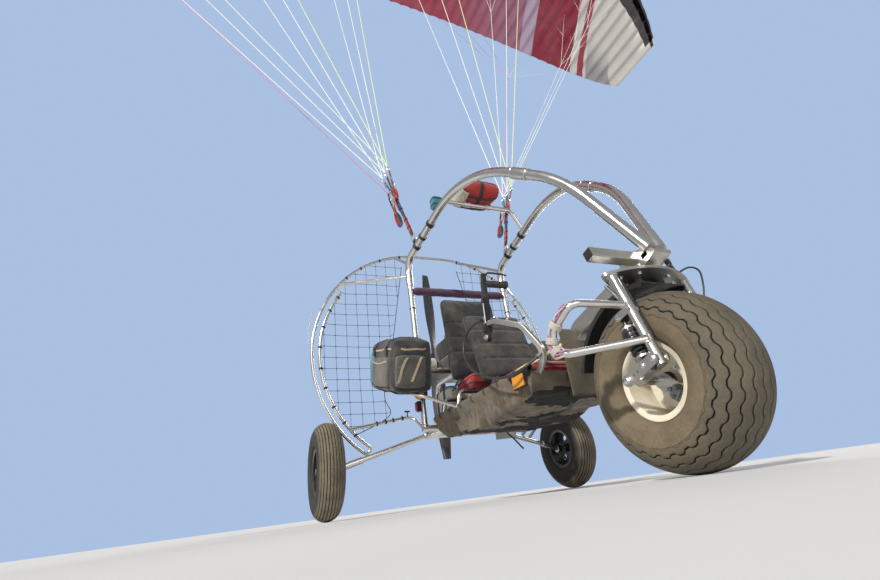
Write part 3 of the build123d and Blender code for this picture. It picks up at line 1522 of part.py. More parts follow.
with BuildPart() as suspension_lines:
    for sign in SIDES.values():
        plane = riser_plane(sign)
        for place, chord_share in RISER_LINES:
            link = plane.from_local_coords(Vector(place, riser_length + 3 * LINE_R, 0))
            bar = plane.z_dir * (6 * LINE_R)
            tube([link - bar, link + bar], None, 2 * LINE_R)
            for turn, rib in enumerate(LINE_RIBS):
                share = sign * rib / CELLS
                chord = wing_chord(share)
                low_skin = [(x, z) for x, z, side in PROFILE if z < 0][::-1]
                for (x_a, z_a), (x_b, z_b) in zip(low_skin, low_skin[1:]):
                    if x_a <= chord_share <= x_b:
                        z_at = z_a + (z_b - z_a) * (chord_share - x_a) / (x_b - x_a)
                at = Vector((HANG_CHORD - chord_share) * chord, z_at * chord, 0)
                end = wing_plane(share).from_local_coords(at)
                start = link + plane.z_dir * (4 * LINE_R * (1 - turn) * sign)
                tube([start, end + (start - end).normalized() * RUNNING_GAP], None, LINE_R)
save(suspension_lines, "suspension_lines")
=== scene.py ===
"""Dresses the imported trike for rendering: materials, tread, cloth, net, lines and trim."""
import math

import bmesh
import bpy
from mathutils import Matrix, Vector, noise


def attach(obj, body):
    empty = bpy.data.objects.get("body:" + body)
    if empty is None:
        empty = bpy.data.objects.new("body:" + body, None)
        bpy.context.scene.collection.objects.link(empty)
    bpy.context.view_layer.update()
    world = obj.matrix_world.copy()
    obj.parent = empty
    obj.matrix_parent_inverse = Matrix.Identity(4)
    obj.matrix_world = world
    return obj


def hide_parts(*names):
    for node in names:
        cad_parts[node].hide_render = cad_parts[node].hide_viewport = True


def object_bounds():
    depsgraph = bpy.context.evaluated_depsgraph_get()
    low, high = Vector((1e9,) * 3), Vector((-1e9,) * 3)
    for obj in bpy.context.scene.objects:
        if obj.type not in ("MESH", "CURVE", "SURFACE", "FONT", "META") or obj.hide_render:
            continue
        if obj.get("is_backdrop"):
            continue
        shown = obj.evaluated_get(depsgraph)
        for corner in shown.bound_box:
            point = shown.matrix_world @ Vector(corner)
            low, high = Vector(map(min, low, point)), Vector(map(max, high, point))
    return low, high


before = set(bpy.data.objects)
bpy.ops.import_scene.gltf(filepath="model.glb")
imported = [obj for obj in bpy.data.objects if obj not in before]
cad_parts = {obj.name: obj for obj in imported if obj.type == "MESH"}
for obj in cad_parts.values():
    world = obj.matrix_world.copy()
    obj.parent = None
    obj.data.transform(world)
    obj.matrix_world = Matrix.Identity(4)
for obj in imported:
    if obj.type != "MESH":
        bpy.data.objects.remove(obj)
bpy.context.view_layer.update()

# Places taken from the part's source, in metres
AXLE = 2.1175
ROOT = "frame"
TAU = 2 * math.pi
X_AXIS, Y_AXIS, Z_AXIS = Vector((1, 0, 0)), Vector((0, 1, 0)), Vector((0, 0, 1))
BOX_AXES = (X_AXIS, Y_AXIS, Z_AXIS)
# The nets' slack is drawn from noise that would change with the clock
noise.seed_set(7)


def at(x, y, z):
    """A point given in millimetres: ahead of the front axle, to the left and up."""
    return Vector((AXLE + x / 1000, y / 1000, z / 1000))


RAKE = math.radians(13.5)
HEAD = at(23, 0, 600)
STEER_UP = Vector((-math.sin(RAKE), 0, math.cos(RAKE)))
STEER_FORWARD = Vector((math.cos(RAKE), 0, math.sin(RAKE)))


def on_fork(x, y, z):
    """A point of the steering frame, in millimetres, as a place in the model."""
    return HEAD + STEER_FORWARD * (x / 1000) + Y_AXIS * (y / 1000) + STEER_UP * (z / 1000)


def circle(centre, radius, count, first=X_AXIS, second=Z_AXIS, start=0.0):
    """Points evenly round a circle, turning from the first direction to the second."""
    angles = (math.radians(start) + TAU * k / count for k in range(count))
    return [centre + (first * math.cos(angle) + second * math.sin(angle)) * radius for angle in angles]


def squared_circle(count, power):
    """Pairs of places round a circle of size one whose sides are flattened."""
    round_places = ((math.cos(TAU * k / count), math.sin(TAU * k / count)) for k in range(count))
    return [tuple(math.copysign(abs(value) ** power, value) for value in pair) for pair in round_places]


# Camera at the photograph's viewing angle, standing on the floor
CAMERA_PLACE = (958.1, -1162.8, 20.0)
CAMERA_LENS = 18.71
CAMERA_TURN = (154.64, 24.72, -7.77)
camera_data = bpy.data.cameras.new("camera")
camera_data.sensor_width = 36
camera_data.lens = CAMERA_LENS
camera_data.clip_start = 0.01
camera_data.clip_end = 200
camera = bpy.data.objects.new("camera", camera_data)
bpy.context.scene.collection.objects.link(camera)
bpy.context.scene.camera = camera
camera_azimuth, camera_elevation, camera_roll = map(math.radians, CAMERA_TURN)
ahead = Vector((
    math.cos(camera_elevation) * math.cos(camera_azimuth),
    math.cos(camera_elevation) * math.sin(camera_azimuth),
    math.sin(camera_elevation),
))
right = ahead.cross(Z_AXIS).normalized()
up = right.cross(ahead)
turned_right = right * math.cos(camera_roll) + up * math.sin(camera_roll)
turned_up = up * math.cos(camera_roll) - right * math.sin(camera_roll)
turn = Matrix((turned_right, turned_up, -ahead)).transposed().to_4x4()
camera.matrix_world = Matrix.Translation(at(*CAMERA_PLACE)) @ turn


# Materials, all procedural and in the model's own metres
class Paint:
    """A material being built from nodes on a Principled shader."""

    def __init__(self, name, roughness=0.5, metallic=0.0, **settings):
        self.material = bpy.data.materials.new(name)
        self.material.use_nodes = True
        self.tree = self.material.node_tree
        self.shader = self.tree.nodes["Principled BSDF"]
        self.set("Roughness", roughness)
        self.set("Metallic", metallic)
        for key, value in settings.items():
            self.set(key.replace("_", " "), value)
        self.where = self.node("ShaderNodeTexCoord").outputs["Object"]
        self.normal = None

    def set(self, socket, value):
        self.shader.inputs[socket].default_value = value

    def node(self, kind, **inputs):
        made = self.tree.nodes.new(kind)
        for key, value in inputs.items():
            self.feed(made.inputs[key.replace("_", " ")], value)
        return made

    def feed(self, socket, value):
        if hasattr(value, "links"):
            self.tree.links.new(value, socket)
        else:
            socket.default_value = value

    def noise(self, scale, detail=4.0, rough=0.55, where=None, distortion=0.0):
        made = self.node("ShaderNodeTexNoise", Scale=scale, Detail=detail, Roughness=rough)
        made.inputs["Distortion"].default_value = distortion
        self.feed(made.inputs["Vector"], where or self.where)
        return made.outputs["Fac"]

    def stretch(self, x, y, z, where=None):
        made = self.node("ShaderNodeMapping")
        self.feed(made.inputs["Vector"], where or self.where)
        made.inputs["Scale"].default_value = (x, y, z)
        return made.outputs["Vector"]

    def math(self, operation, a, b=0.0):
        made = self.node("ShaderNodeMath")
        made.operation = operation
        self.feed(made.inputs[0], a)
        self.feed(made.inputs[1], b)
        return made.outputs[0]

    def steps(self, value, *stops):
        """A smooth change from one number to the next over a value."""
        made = self.node("ShaderNodeMapRange")
        low, high, start, end = stops
        made.interpolation_type = "SMOOTHSTEP"
        self.feed(made.inputs["Value"], value)
        for key, number in zip(("From Min", "From Max", "To Min", "To Max"), (low, high, start, end)):
            made.inputs[key].default_value = number
        return made.outputs["Result"]

    def blend(self, amount, first, second):
        made = self.node("ShaderNodeMix")
        made.data_type = "RGBA"
        self.feed(made.inputs["Factor"], amount)
        for socket, value in ((made.inputs[6], first), (made.inputs[7], second)):
            self.feed(socket, value if hasattr(value, "links") else (*value, 1.0))
        return made.outputs[2]

    def attribute(self, name):
        made = self.node("ShaderNodeAttribute")
        made.attribute_name = name
        return made.outputs["Fac"]

    def color(self, value):
        self.feed(self.shader.inputs["Base Color"], value if hasattr(value, "links") else (*value, 1))

    def roughness(self, value):
        self.feed(self.shader.inputs["Roughness"], value)

    def bump(self, height, distance, strength=1.0):
        made = self.node("ShaderNodeBump", Height=height, Distance=distance, Strength=strength)
        if self.normal is not None:
            self.tree.links.new(self.normal, made.inputs["Normal"])
        self.normal = made.outputs["Normal"]
        self.tree.links.new(self.normal, self.shader.inputs["Normal"])


def metal(name, light, dark, rough=(0.2, 0.42), grain=(60, 60, 900), dust=(0.25, 0.2, 0.14), soiled=0.25):
    """Bare metal with a drawn grain, dull patches and a film of dust."""
    paint = Paint(name, metallic=1.0)
    patches = paint.noise(14, 6, 0.6)
    film = paint.steps(paint.noise(7, 8, 0.7), 0.5, 0.78, 0.0, soiled)
    paint.color(paint.blend(film, paint.blend(patches, light, dark), dust))
    paint.roughness(paint.steps(patches, 0.3, 0.75, *rough))
    paint.bump(paint.noise(1.0, 2, 0.6, paint.stretch(*grain)), 0.00006)
    paint.bump(paint.noise(220, 3), 0.00008)
    return paint.material


def enamel(name, color, worn, roughness=0.35, dust=(0.3, 0.24, 0.17), soiled=0.3, coat=0.3, scale=24):
    """Paint with orange peel, worn spots and dirt."""
    paint = Paint(name, roughness=roughness, Coat_Weight=coat, Coat_Roughness=0.2)
    spots = paint.steps(paint.noise(scale * 4, 6, 0.7), 0.62, 0.7, 0.0, 0.6)
    film = paint.steps(paint.noise(scale * 0.5, 8, 0.65), 0.42, 0.75, 0.0, soiled)
    paint.color(paint.blend(film, paint.blend(spots, color, worn), dust))
    paint.roughness(paint.steps(paint.noise(scale, 4), 0.3, 0.7, roughness * 0.8, min(roughness * 1.5, 0.9)))
    paint.bump(paint.noise(600, 2), 0.0001, 0.5)
    return paint.material


def plastic(name, color, roughness=0.5, grain=1400, depth=0.00012, dust=(0.28, 0.24, 0.18), soiled=0.2):
    """Moulded plastic or rubber with a fine texture and dust."""
    paint = Paint(name, roughness=roughness)
    film = paint.steps(paint.noise(16, 7, 0.65), 0.45, 0.8, 0.0, soiled)
    tone = paint.blend(paint.noise(40, 3), color, tuple(channel * 0.75 for channel in color))
    paint.color(paint.blend(film, tone, dust))
    paint.roughness(paint.steps(paint.noise(30, 5), 0.3, 0.7, roughness * 0.85, min(1.0, roughness * 1.25)))
    paint.bump(paint.noise(grain, 2), depth)
    return paint.material


def cloth(name, color, shade, thread=0.0012, soiled=0.25, sheen=0.25, dust=(0.3, 0.25, 0.18)):
    """Woven fabric: crossed threads, faded patches, creases and dust."""
    paint = Paint(name, roughness=0.85, Sheen_Weight=sheen, Sheen_Roughness=0.5)
    weave = paint.node("ShaderNodeTexBrick", Scale=1.0, Vector=woven_place(paint), Brick_Width=thread * 2,
                       Row_Height=thread, Mortar_Size=thread * 0.14, Mortar_Smooth=1.0)
    weave.offset = 0.5
    faded = paint.noise(9, 6, 0.6)
    film = paint.steps(paint.noise(5, 9, 0.7), 0.42, 0.72, 0.0, soiled)
    tone = paint.blend(paint.steps(faded, 0.3, 0.7, 0, 1), color, shade)
    between = tuple(channel * 0.5 for channel in shade)
    threads = paint.blend(paint.steps(weave.outputs["Fac"], 0, 1, 0, 0.5), tone, between)
    paint.color(paint.blend(film, threads, dust))
    paint.bump(paint.noise(26, 5, 0.6, distortion=0.6), 0.0022, 0.7)
    paint.bump(paint.math("SUBTRACT", 1.0, weave.outputs["Fac"]), 0.00025)
    return paint.material


def woven_place(paint):
    """Weave coordinates that don't smear on any side: the two axes along the surface."""
    split = paint.node("ShaderNodeSeparateXYZ", Vector=paint.where)
    x, y, z = (split.outputs[axis] for axis in "XYZ")
    joined = paint.node("ShaderNodeCombineXYZ")
    paint.feed(joined.inputs["X"], paint.math("ADD", x, paint.math("MULTIPLY", y, 0.73)))
    paint.feed(joined.inputs["Y"], paint.math("ADD", z, paint.math("MULTIPLY", y, 0.41)))
    return joined.outputs["Vector"]


steel = metal("polished_tube", (0.78, 0.77, 0.74), (0.6, 0.58, 0.54), (0.16, 0.34), soiled=0.22)
plate_metal = metal("satin_plate", (0.66, 0.65, 0.62), (0.5, 0.48, 0.44), (0.3, 0.5), (40, 700, 40),
                    soiled=0.4)
bright_steel = metal("bright_steel", (0.8, 0.8, 0.8), (0.66, 0.66, 0.66), (0.12, 0.26), soiled=0.05)
cast_metal = metal("cast_metal", (0.36, 0.36, 0.36), (0.24, 0.24, 0.24), (0.45, 0.65), (200, 200, 200))
cream = enamel("cream_enamel", (0.8, 0.74, 0.6), (0.55, 0.5, 0.4), 0.38, (0.42, 0.33, 0.22), 0.4, 0.15)
black_enamel = enamel("black_enamel", (0.018, 0.018, 0.02), (0.12, 0.11, 0.1), 0.3, (0.16, 0.13, 0.1), 0.2)
lime = enamel("lime_seal", (0.52, 0.68, 0.06), (0.4, 0.5, 0.08), 0.4, soiled=0.2)
amber = enamel("amber_lens", (0.72, 0.3, 0.02), (0.6, 0.25, 0.02), 0.25, soiled=0.1)
red_lens = enamel("red_lens", (0.45, 0.01, 0.01), (0.35, 0.02, 0.02), 0.2, soiled=0.1)
black_plastic = plastic("black_plastic", (0.02, 0.02, 0.021), 0.45)
hose_rubber = plastic("hose_rubber", (0.03, 0.03, 0.032), 0.38, soiled=0.12)
tank_plastic = plastic("tank_plastic", (0.72, 0.7, 0.6), 0.35, 300, 0.0001, soiled=0.12)
bag_cloth = cloth("bag_cloth", (0.15, 0.11, 0.062), (0.06, 0.046, 0.03), 0.0012, soiled=0.35)
# Black along the bag's bottom, and painted shade for its open front corners
bag_dark_and_shade = cloth("bag_dark_and_shade", (0.01, 0.009, 0.008), (0.014, 0.012, 0.01), 0.0012, soiled=0.04, sheen=0.0)
dark_cloth = cloth("dark_cloth", (0.02, 0.021, 0.026), (0.012, 0.012, 0.015), 0.0012, soiled=0.3)
grey_cloth = cloth("grey_cloth", (0.1, 0.095, 0.085), (0.05, 0.047, 0.042), 0.0012, soiled=0.45)
red_cloth = cloth("red_cloth", (0.5, 0.02, 0.025), (0.36, 0.015, 0.02), 0.001, soiled=0.1)
purple_cloth = cloth("purple_cloth", (0.09, 0.03, 0.09), (0.05, 0.02, 0.05), 0.001, soiled=0.15)
teal_cloth = cloth("teal_cloth", (0.02, 0.25, 0.3), (0.015, 0.16, 0.2), 0.001, soiled=0.15)
tan_cloth = cloth("tan_cloth", (0.5, 0.4, 0.26), (0.36, 0.28, 0.18), 0.001, soiled=0.2)
cream_cloth = cloth("cream_cloth", (0.7, 0.66, 0.56), (0.55, 0.5, 0.42), 0.001, soiled=0.15)
black_strap = cloth("black_strap", (0.022, 0.022, 0.024), (0.014, 0.014, 0.015), 0.0008, soiled=0.12)
red_strap = cloth("red_strap", (0.5, 0.03, 0.02), (0.4, 0.02, 0.02), 0.0008, soiled=0.08)
blue_strap = cloth("blue_strap", (0.02, 0.14, 0.34), (0.015, 0.1, 0.25), 0.0008, soiled=0.08)
pale_cord = cloth("pale_cord", (0.93, 0.94, 0.88), (0.84, 0.86, 0.8), 0.0006, soiled=0.05)
lime_cord = cloth("lime_cord", (0.86, 0.93, 0.45), (0.76, 0.85, 0.36), 0.0006, soiled=0.05)
pink_cord = cloth("pink_cord", (0.62, 0.25, 0.48), (0.52, 0.18, 0.4), 0.0006, soiled=0.05)
net_cord = cloth("net_cord", (0.07, 0.075, 0.085), (0.04, 0.043, 0.05), 0.0006, soiled=0.1)


def carbon():
    """Woven carbon under clear lacquer."""
    paint = Paint("carbon_weave", roughness=0.3, Coat_Weight=0.8, Coat_Roughness=0.08)
    checks = paint.node("ShaderNodeTexChecker", Scale=1.0)
    paint.feed(checks.inputs["Vector"], paint.stretch(260, 260, 260))
    paint.color(paint.blend(checks.outputs["Fac"], (0.02, 0.02, 0.022), (0.055, 0.055, 0.06)))
    paint.bump(checks.outputs["Fac"], 0.00008)
    return paint.material


carbon_weave = carbon()


def tyre_rubber(name, tread_tone, wall_tone, dust, tread_dust, wall_dust):
    """Rubber: dusty tread and walls, each to its own degree, with painted shade in the grooves."""
    paint = Paint(name, roughness=0.85)
    soft = paint.noise(9, 8, 0.65)
    fine = paint.noise(160, 5, 0.7)
    share = paint.attribute("tread")
    tone = paint.blend(share, wall_tone, tread_tone)
    powder = paint.math("ADD", paint.math("MULTIPLY", soft, 0.6), paint.math("MULTIPLY", fine, 0.4))
    on_tread = paint.steps(powder, 0.4, 0.62, tread_dust * 0.45, tread_dust)
    on_wall = paint.steps(powder, 0.38, 0.62, wall_dust * 0.5, wall_dust)
    amount = paint.math("ADD", paint.math("MULTIPLY", share, on_tread),
                        paint.math("MULTIPLY", paint.math("SUBTRACT", 1.0, share), on_wall))
    dusted = paint.blend(amount, tone, dust)
    # Painted shade: grooves and edge lines are coloured far darker than the rubber itself
    groove_shade_tone = tuple(channel * 0.22 for channel in tread_tone)
    paint.color(paint.blend(paint.attribute("groove"), dusted, groove_shade_tone))
    paint.bump(fine, 0.0004)
    paint.bump(paint.noise(900, 3), 0.00012)
    return paint.material


front_rubber = tyre_rubber("front_rubber", (0.055, 0.052, 0.042), (0.06, 0.048, 0.032), (0.24, 0.19, 0.12),
                           tread_dust=0.42, wall_dust=0.7)
rear_rubber = tyre_rubber("rear_rubber", (0.05, 0.047, 0.04), (0.012, 0.012, 0.012), (0.27, 0.22, 0.15),
                          tread_dust=0.8, wall_dust=0.1)

# CAD nodes whose shape is right only get a better material
NODE_MATERIALS = {
    steel: (
        "arch_right", "arch_left", "lower_frame", "side_tubes", "mast_right", "mast_left", "roll_bar",
        "axle_beam_right", "axle_beam_left", "cage_hoop", "cage_braces", "fork_legs", "footrests", "exhaust",
        "engine_mount",
    ),
    plate_metal: (
        "arch_web", "head_box", "keel_beam", "hang_brackets", "toe_bar", "control_arm", "fork_plate",
        "fork_links", "brake_caliper",
    ),
    bright_steel: ("front_axle", "damper_rod"),
    cast_metal: ("engine", "redrive"),
    cream: ("front_rim",),
    black_enamel: ("rear_rim_right", "rear_rim_left", "shocks", "damper_tube"),
    lime: ("bearing_ring",),
    black_plastic: ("front_fender", "throttle_lever"),
    tank_plastic: ("fuel_tank",),
    carbon_weave: ("propeller",),
}
for finish_material, names in NODE_MATERIALS.items():
    for node_name in names:
        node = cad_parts[node_name]
        node.data.materials.clear()
        node.data.materials.append(finish_material)


# Mesh building
def link(name, mesh, finish_material, body, smooth=True):
    """Puts a finished mesh in the scene on its body, with its material."""
    piece = bpy.data.objects.new(name, mesh)
    bpy.context.scene.collection.objects.link(piece)
    mesh.materials.append(finish_material)
    if smooth:
        mesh.polygons.foreach_set("use_smooth", [True] * len(mesh.polygons))
    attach(piece, body)
    return piece


def mesh_from(name, points, faces):
    mesh = bpy.data.meshes.new(name)
    mesh.from_pydata([tuple(point) for point in points], [], faces)
    mesh.validate()
    mesh.update()
    return mesh


def grid_faces(rows, columns, close_rows=False, close_columns=False, start=0):
    """Quads between neighbouring points of a grid laid out row by row."""
    faces = []
    for row in range(rows if close_rows else rows - 1):
        for column in range(columns if close_columns else columns - 1):
            next_row, next_column = (row + 1) % rows, (column + 1) % columns
            faces.append((
                start + row * columns + column,
                start + row * columns + next_column,
                start + next_row * columns + next_column,
                start + next_row * columns + column,
            ))
    return faces


class Bundle:
    """Collects many small tubes, straps and solids into one mesh."""

    def __init__(self):
        self.points = []
        self.faces = []

    def grid(self, rows, close_columns=True, close_rows=False, caps=False):
        start, columns = len(self.points), len(rows[0])
        for row in rows:
            self.points.extend(row)
        self.faces.extend(grid_faces(len(rows), columns, close_rows, close_columns, start))
        if caps:
            last = start + (len(rows) - 1) * columns
            self.faces.append(tuple(range(start, start + columns))[::-1])
            self.faces.append(tuple(range(last, last + columns)))

    def tube(self, line, radius, sides=8, closed=False):
        """A round tube along a line of points; radius is a number or one for each point."""
        line = [Vector(point) for point in line]
        radii = radius if isinstance(radius, (list, tuple)) else [radius] * len(line)
        rows, across = [], None
        count = len(line)
        for index, point in enumerate(line):
            after = line[(index + 1) % count] if closed else line[min(index + 1, count - 1)]
            before = line[index - 1] if closed or index else line[0]
            along = (after - before).normalized()
            if across is None:
                across = along.orthogonal().normalized()
            across = (across - along * across.dot(along)).normalized()
            other = along.cross(across)
            rows.append(circle(point, radii[index], sides, across, other))
        self.grid(rows, close_rows=closed, caps=not closed)

    def strap(self, line, across, width, thickness, rounds=0.0):
        """A flat strap along a line; across is its width direction, one or one for each point."""
        line = [Vector(point) for point in line]
        rows = []
        for index, point in enumerate(line):
            wide = Vector(across[index] if isinstance(across, list) else across).normalized()
            before, after = line[max(index - 1, 0)], line[min(index + 1, len(line) - 1)]
            along = (after - before).normalized()
            thin = along.cross(wide).normalized() * (thickness / 2)
            wide = wide * (width / 2)
            rows.append([
                point - wide - thin * (1 - rounds), point - wide * 0.92 - thin, point + wide * 0.92 - thin,
                point + wide - thin * (1 - rounds), point + wide + thin * (1 - rounds),
                point + wide * 0.92 + thin, point - wide * 0.92 + thin, point - wide + thin * (1 - rounds),
            ])
        self.grid(rows, caps=True)

    def hoop(self, points, across, width, thickness):
        """A flat strap laid once round a closed line of points."""
        self.strap(points + [points[0]], across, width, thickness)

    def block(self, centre, axes, size, chamfer=0.12):
        """A block with its edges broken, on three axes."""
        centre = Vector(centre)
        made = bmesh.new()
        bmesh.ops.create_cube(made, size=1.0)
        for vert in made.verts:
            vert.co = Vector(vert.co[i] * size[i] for i in range(3))
        bmesh.ops.bevel(made, geom=made.edges[:], offset=min(size) * chamfer, segments=2, affect="EDGES")
        start = len(self.points)
        for vert in made.verts:
            self.points.append(centre + sum((Vector(axes[i]) * vert.co[i] for i in range(3)), Vector()))
        self.faces.extend(tuple(start + vert.index for vert in face.verts) for face in made.faces)
        made.free()

    def bolt(self, point, along, radius, height, washer=1.5):
        """A hexagon head with its washer and a domed top."""
        along = Vector(along).normalized()
        across = along.orthogonal().normalized()
        other = along.cross(across)

        def ring(size, lift, sides):
            return circle(Vector(point) + along * lift, size, sides, across, other)

        thin = height * 0.2
        self.grid([ring(radius * washer, -0.0006, 18), ring(radius * washer, thin, 18)], caps=True)
        head = ((radius, thin), (radius, height * 0.85), (radius * 0.85, height))
        self.grid([ring(size, lift, 6) for size, lift in head], caps=True)

    def piece(self, name, finish_material, slot, body=ROOT, smooth=True):
        piece = link(name, mesh_from(name, self.points, self.faces), finish_material, body, smooth)
        if smooth:
            sharpen(piece)
        return piece


def sharpen(piece, angle=40):
    """Keeps faces that meet at a steep angle looking sharp."""
    piece.data.set_sharp_from_angle(angle=math.radians(angle))


def add_modifier(piece, kind, **settings):
    made = piece.modifiers.new(kind.lower(), kind)
    for key, value in settings.items():
        setattr(made, key, value)
    return made


def spline_points(points, per_run=8, closed=False):
    """A smooth line through the points, as a Catmull-Rom curve."""
    points = [Vector(point) for point in points]
    count, made = len(points), []
    runs = count if closed else count - 1
    for index in range(runs):
        if closed:
            p0, p1, p2, p3 = (points[(index + shift) % count] for shift in (-1, 0, 1, 2))
        else:
            p0, p1 = points[max(index - 1, 0)], points[index]
            p2, p3 = points[index + 1], points[min(index + 2, count - 1)]
        for step in range(per_run):
            t = step / per_run
            made.append(0.5 * (
                2 * p1 + (p2 - p0) * t + (2 * p0 - 5 * p1 + 4 * p2 - p3) * t ** 2
                + (3 * p1 - p0 - 3 * p2 + p3) * t ** 3))
    if not closed:
        made.append(points[-1])
    return made


# Wheels: tyres with real tread, bolts and valve
RIM_R, FLANGE_R, BEAD_FOOT_R = 0.1016, 0.1145, 0.1026


def tyre_profile(outer_r, half, bead_y):
    """Places from the middle of the tread to the rim, as distance along the skin, width and radius."""
    bulge_r = (outer_r + RIM_R) / 2
    places, length = [], 0.0
    for step in range(241):
        angle = step / 240 * math.pi / 2
        place = (half * math.sin(angle), bulge_r + (outer_r - bulge_r) * math.cos(angle) ** 0.92)
        if places:
            length += math.dist(place, places[-1][1:])
        places.append((length, *place))
    wall = []
    for step in range(1, 13):
        angle = step / 12 * math.pi / 2
        y = half - (half - bead_y) * (1 - math.cos(angle)) ** 1.1
        y += {4: 0.001, 7: 0.0022, 8: 0.0022}.get(step, 0.0)
        wall.append((y, bulge_r + (FLANGE_R - bulge_r) * math.sin(angle)))
    return places, wall


def along_skin(places, distance):
    """Width, radius and outward direction at a distance from the middle of the tread."""
    side = math.copysign(1, distance)
    distance = min(abs(distance), places[-1][0])
    low, high = 0, len(places) - 1
    while high - low > 1:
        middle = (low + high) // 2
        if places[middle][0] <= distance:
            low = middle
        else:
            high = middle
    (a, y_a, r_a), (b, y_b, r_b) = places[low], places[high]
    share = (distance - a) / (b - a)
    run = Vector((y_b - y_a, r_b - r_a)).normalized()
    return side * (y_a + (y_b - y_a) * share), r_a + (r_b - r_a) * share, side * -run.y, run.x


def tyre_mesh(name, centre, size, tread, turns, finish_material, body, node_name):
    """A tyre whose mesh lines follow its grooves, so that each groove has real walls."""
    outer_r, width = size
    grooves, groove_width, deep, waves, wave_size, reach_share, edge_lines = tread
    bead_y = width / 2 * 0.66 - 0.0008
    places, wall = tyre_profile(outer_r, width / 2, bead_y)
    reach = places[-1][0] * reach_share
    pitch = 2 * reach / grooves
    wide = groove_width / 2
    columns = []
    for index in range(grooves):
        middle = -reach + pitch * (index + 0.5)
        columns += [
            (middle - pitch * 0.5, 0, 0), (middle - pitch * 0.28, 0, 0), (middle - wide * 1.25, 0.02, 0),
            (middle - wide, 0.1, 0.0006), (middle - wide * 0.6, 1, deep), (middle + wide * 0.6, 1, deep),
            (middle + wide, 0.1, 0.0006), (middle + wide * 1.25, 0.02, 0), (middle + pitch * 0.28, 0, 0),
        ]
    columns.append((reach, 0, 0))
    beyond = []
    if edge_lines:
        for line in (0.004, 0.0075):
            beyond += [(reach + line + side, mark, cut)
                       for side, mark, cut in ((-0.0009, 0, 0), (0, 0.8, 0.0013), (0.0009, 0, 0))]
    last = places[-1][0]
    beyond += [(reach + (last - reach) * share, 0, 0) for share in (0.45, 0.62, 0.8, 1.0)]
    beyond = [entry for entry in beyond if entry[0] > reach + 0.001]
    beyond.sort()
    columns = [(-place, mark, cut) for place, mark, cut in beyond[::-1]] + columns + beyond
    wall += [(bead_y, FLANGE_R - 0.006), (bead_y - 0.01, BEAD_FOOT_R)]
    points, dark, worn = [], [], []
    for step in range(turns):
        angle = TAU * step / turns
        wave = wave_size * (math.sin(waves * angle) + 0.16 * math.sin(3 * waves * angle))
        around = Vector((math.cos(angle), 0, math.sin(angle)))
        row = [(-y, r, 0.0, 0.0) for y, r in wall[::-1]]
        for place, mark, cut in columns:
            fade = max(0.0, min(1.0, (reach + pitch * 0.35 - abs(place)) / (pitch * 0.5)))
            y, r, out_y, out_r = along_skin(places, place + wave * fade)
            tread_share = max(0.0, min(1.0, (reach - abs(place)) / 0.012 + 0.6))
            row.append((y - out_y * cut, r - out_r * cut, mark, tread_share))
        row += [(y, r, 0.0, 0.0) for y, r in wall]
        for y, r, mark, tread_share in row:
            points.append(centre + around * r + Y_AXIS * y)
            dark.append(mark)
            worn.append(tread_share)
    mesh = mesh_from(name, points, grid_faces(turns, len(points) // turns, close_rows=True))
    # The groove mask carries the painted shade of the grooves and edge lines
    for key, values in (("groove", dark), ("tread", worn)):
        mesh.attributes.new(key, "FLOAT", "POINT").data.foreach_set("value", values)
    tyre = link(name, mesh, finish_material, body)
    tyre.data.set_sharp_from_angle(angle=math.radians(50))
    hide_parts(node_name)


# Grooves, their width and depth, waves round the tyre and their size, the tread's share and edge lines
FRONT_TREAD = (9, 0.0048, 0.006, 26, 0.005, 0.93, True)
REAR_TREAD = (9, 0.0042, 0.0055, 1, 0.0, 0.66, False)
FRONT_TYRE, REAR_TYRE = (0.260, 0.222), (0.233, 0.132)
front_hub = at(0, 0, 260)
tyre_mesh("tyre_front", front_hub, FRONT_TYRE, FRONT_TREAD, 414, front_rubber, "front_wheel",
          "front_tyre")
for side, sign in (("right", -1), ("left", 1)):
    hub = at(-1540, sign * 746, 233)
    tyre_mesh(f"tyre_rear_{side}", hub, REAR_TYRE, REAR_TREAD, 144, rear_rubber,
              f"rear_wheel_{side}", f"rear_tyre_{side}")
    trim = Bundle()
    for spot in circle(hub + Y_AXIS * (sign * 0.006), 0.046, 5, start=54):
        trim.bolt(spot, (0, sign, 0), 0.0065, 0.008)
    trim.tube([hub + Y_AXIS * (sign * 0.036), hub + Y_AXIS * (sign * 0.043)], [0.0215, 0.018], 24)
    stem = hub + Vector((0.094, sign * 0.022, 0.01))
    trim.tube([stem, stem + Vector((-0.012, sign * 0.022, 0))], [0.0042, 0.0034], 10)
    trim.piece(f"rear_wheel_trim_{side}", bright_steel, "steel", f"rear_wheel_{side}")

front_trim = Bundle()
for spot in circle(front_hub, 0.04, 4, start=45):
    front_trim.bolt(spot + Y_AXIS * 0.0222, Y_AXIS, 0.006, 0.008)
    front_trim.bolt(spot - Y_AXIS * 0.0105, -Y_AXIS, 0.005, 0.006)
front_trim.piece("front_wheel_bolts", bright_steel, "steel", "front_wheel")
hub_seal = Bundle()
hub_seal.tube([front_hub + Y_AXIS * (y / 1000) for y in (-12.2, -13, -23, -25)],
              [0.0225, 0.0235, 0.0235, 0.021], 32)
hub_seal.piece("front_hub_seal", black_plastic, "dark_plastic", "front_wheel")


# Wing: sewn cells, dark nose, colour bands, ribs, lines and risers
WING_RADIUS, HALF_WIDTH, ARCH_Z = 7.7, 5.5, 1750
WING_STATION, TIP_SWEEP = -2490, 370
CHORD, TAPER = 3.0, 0.95
ARC = math.asin(HALF_WIDTH / WING_RADIUS)
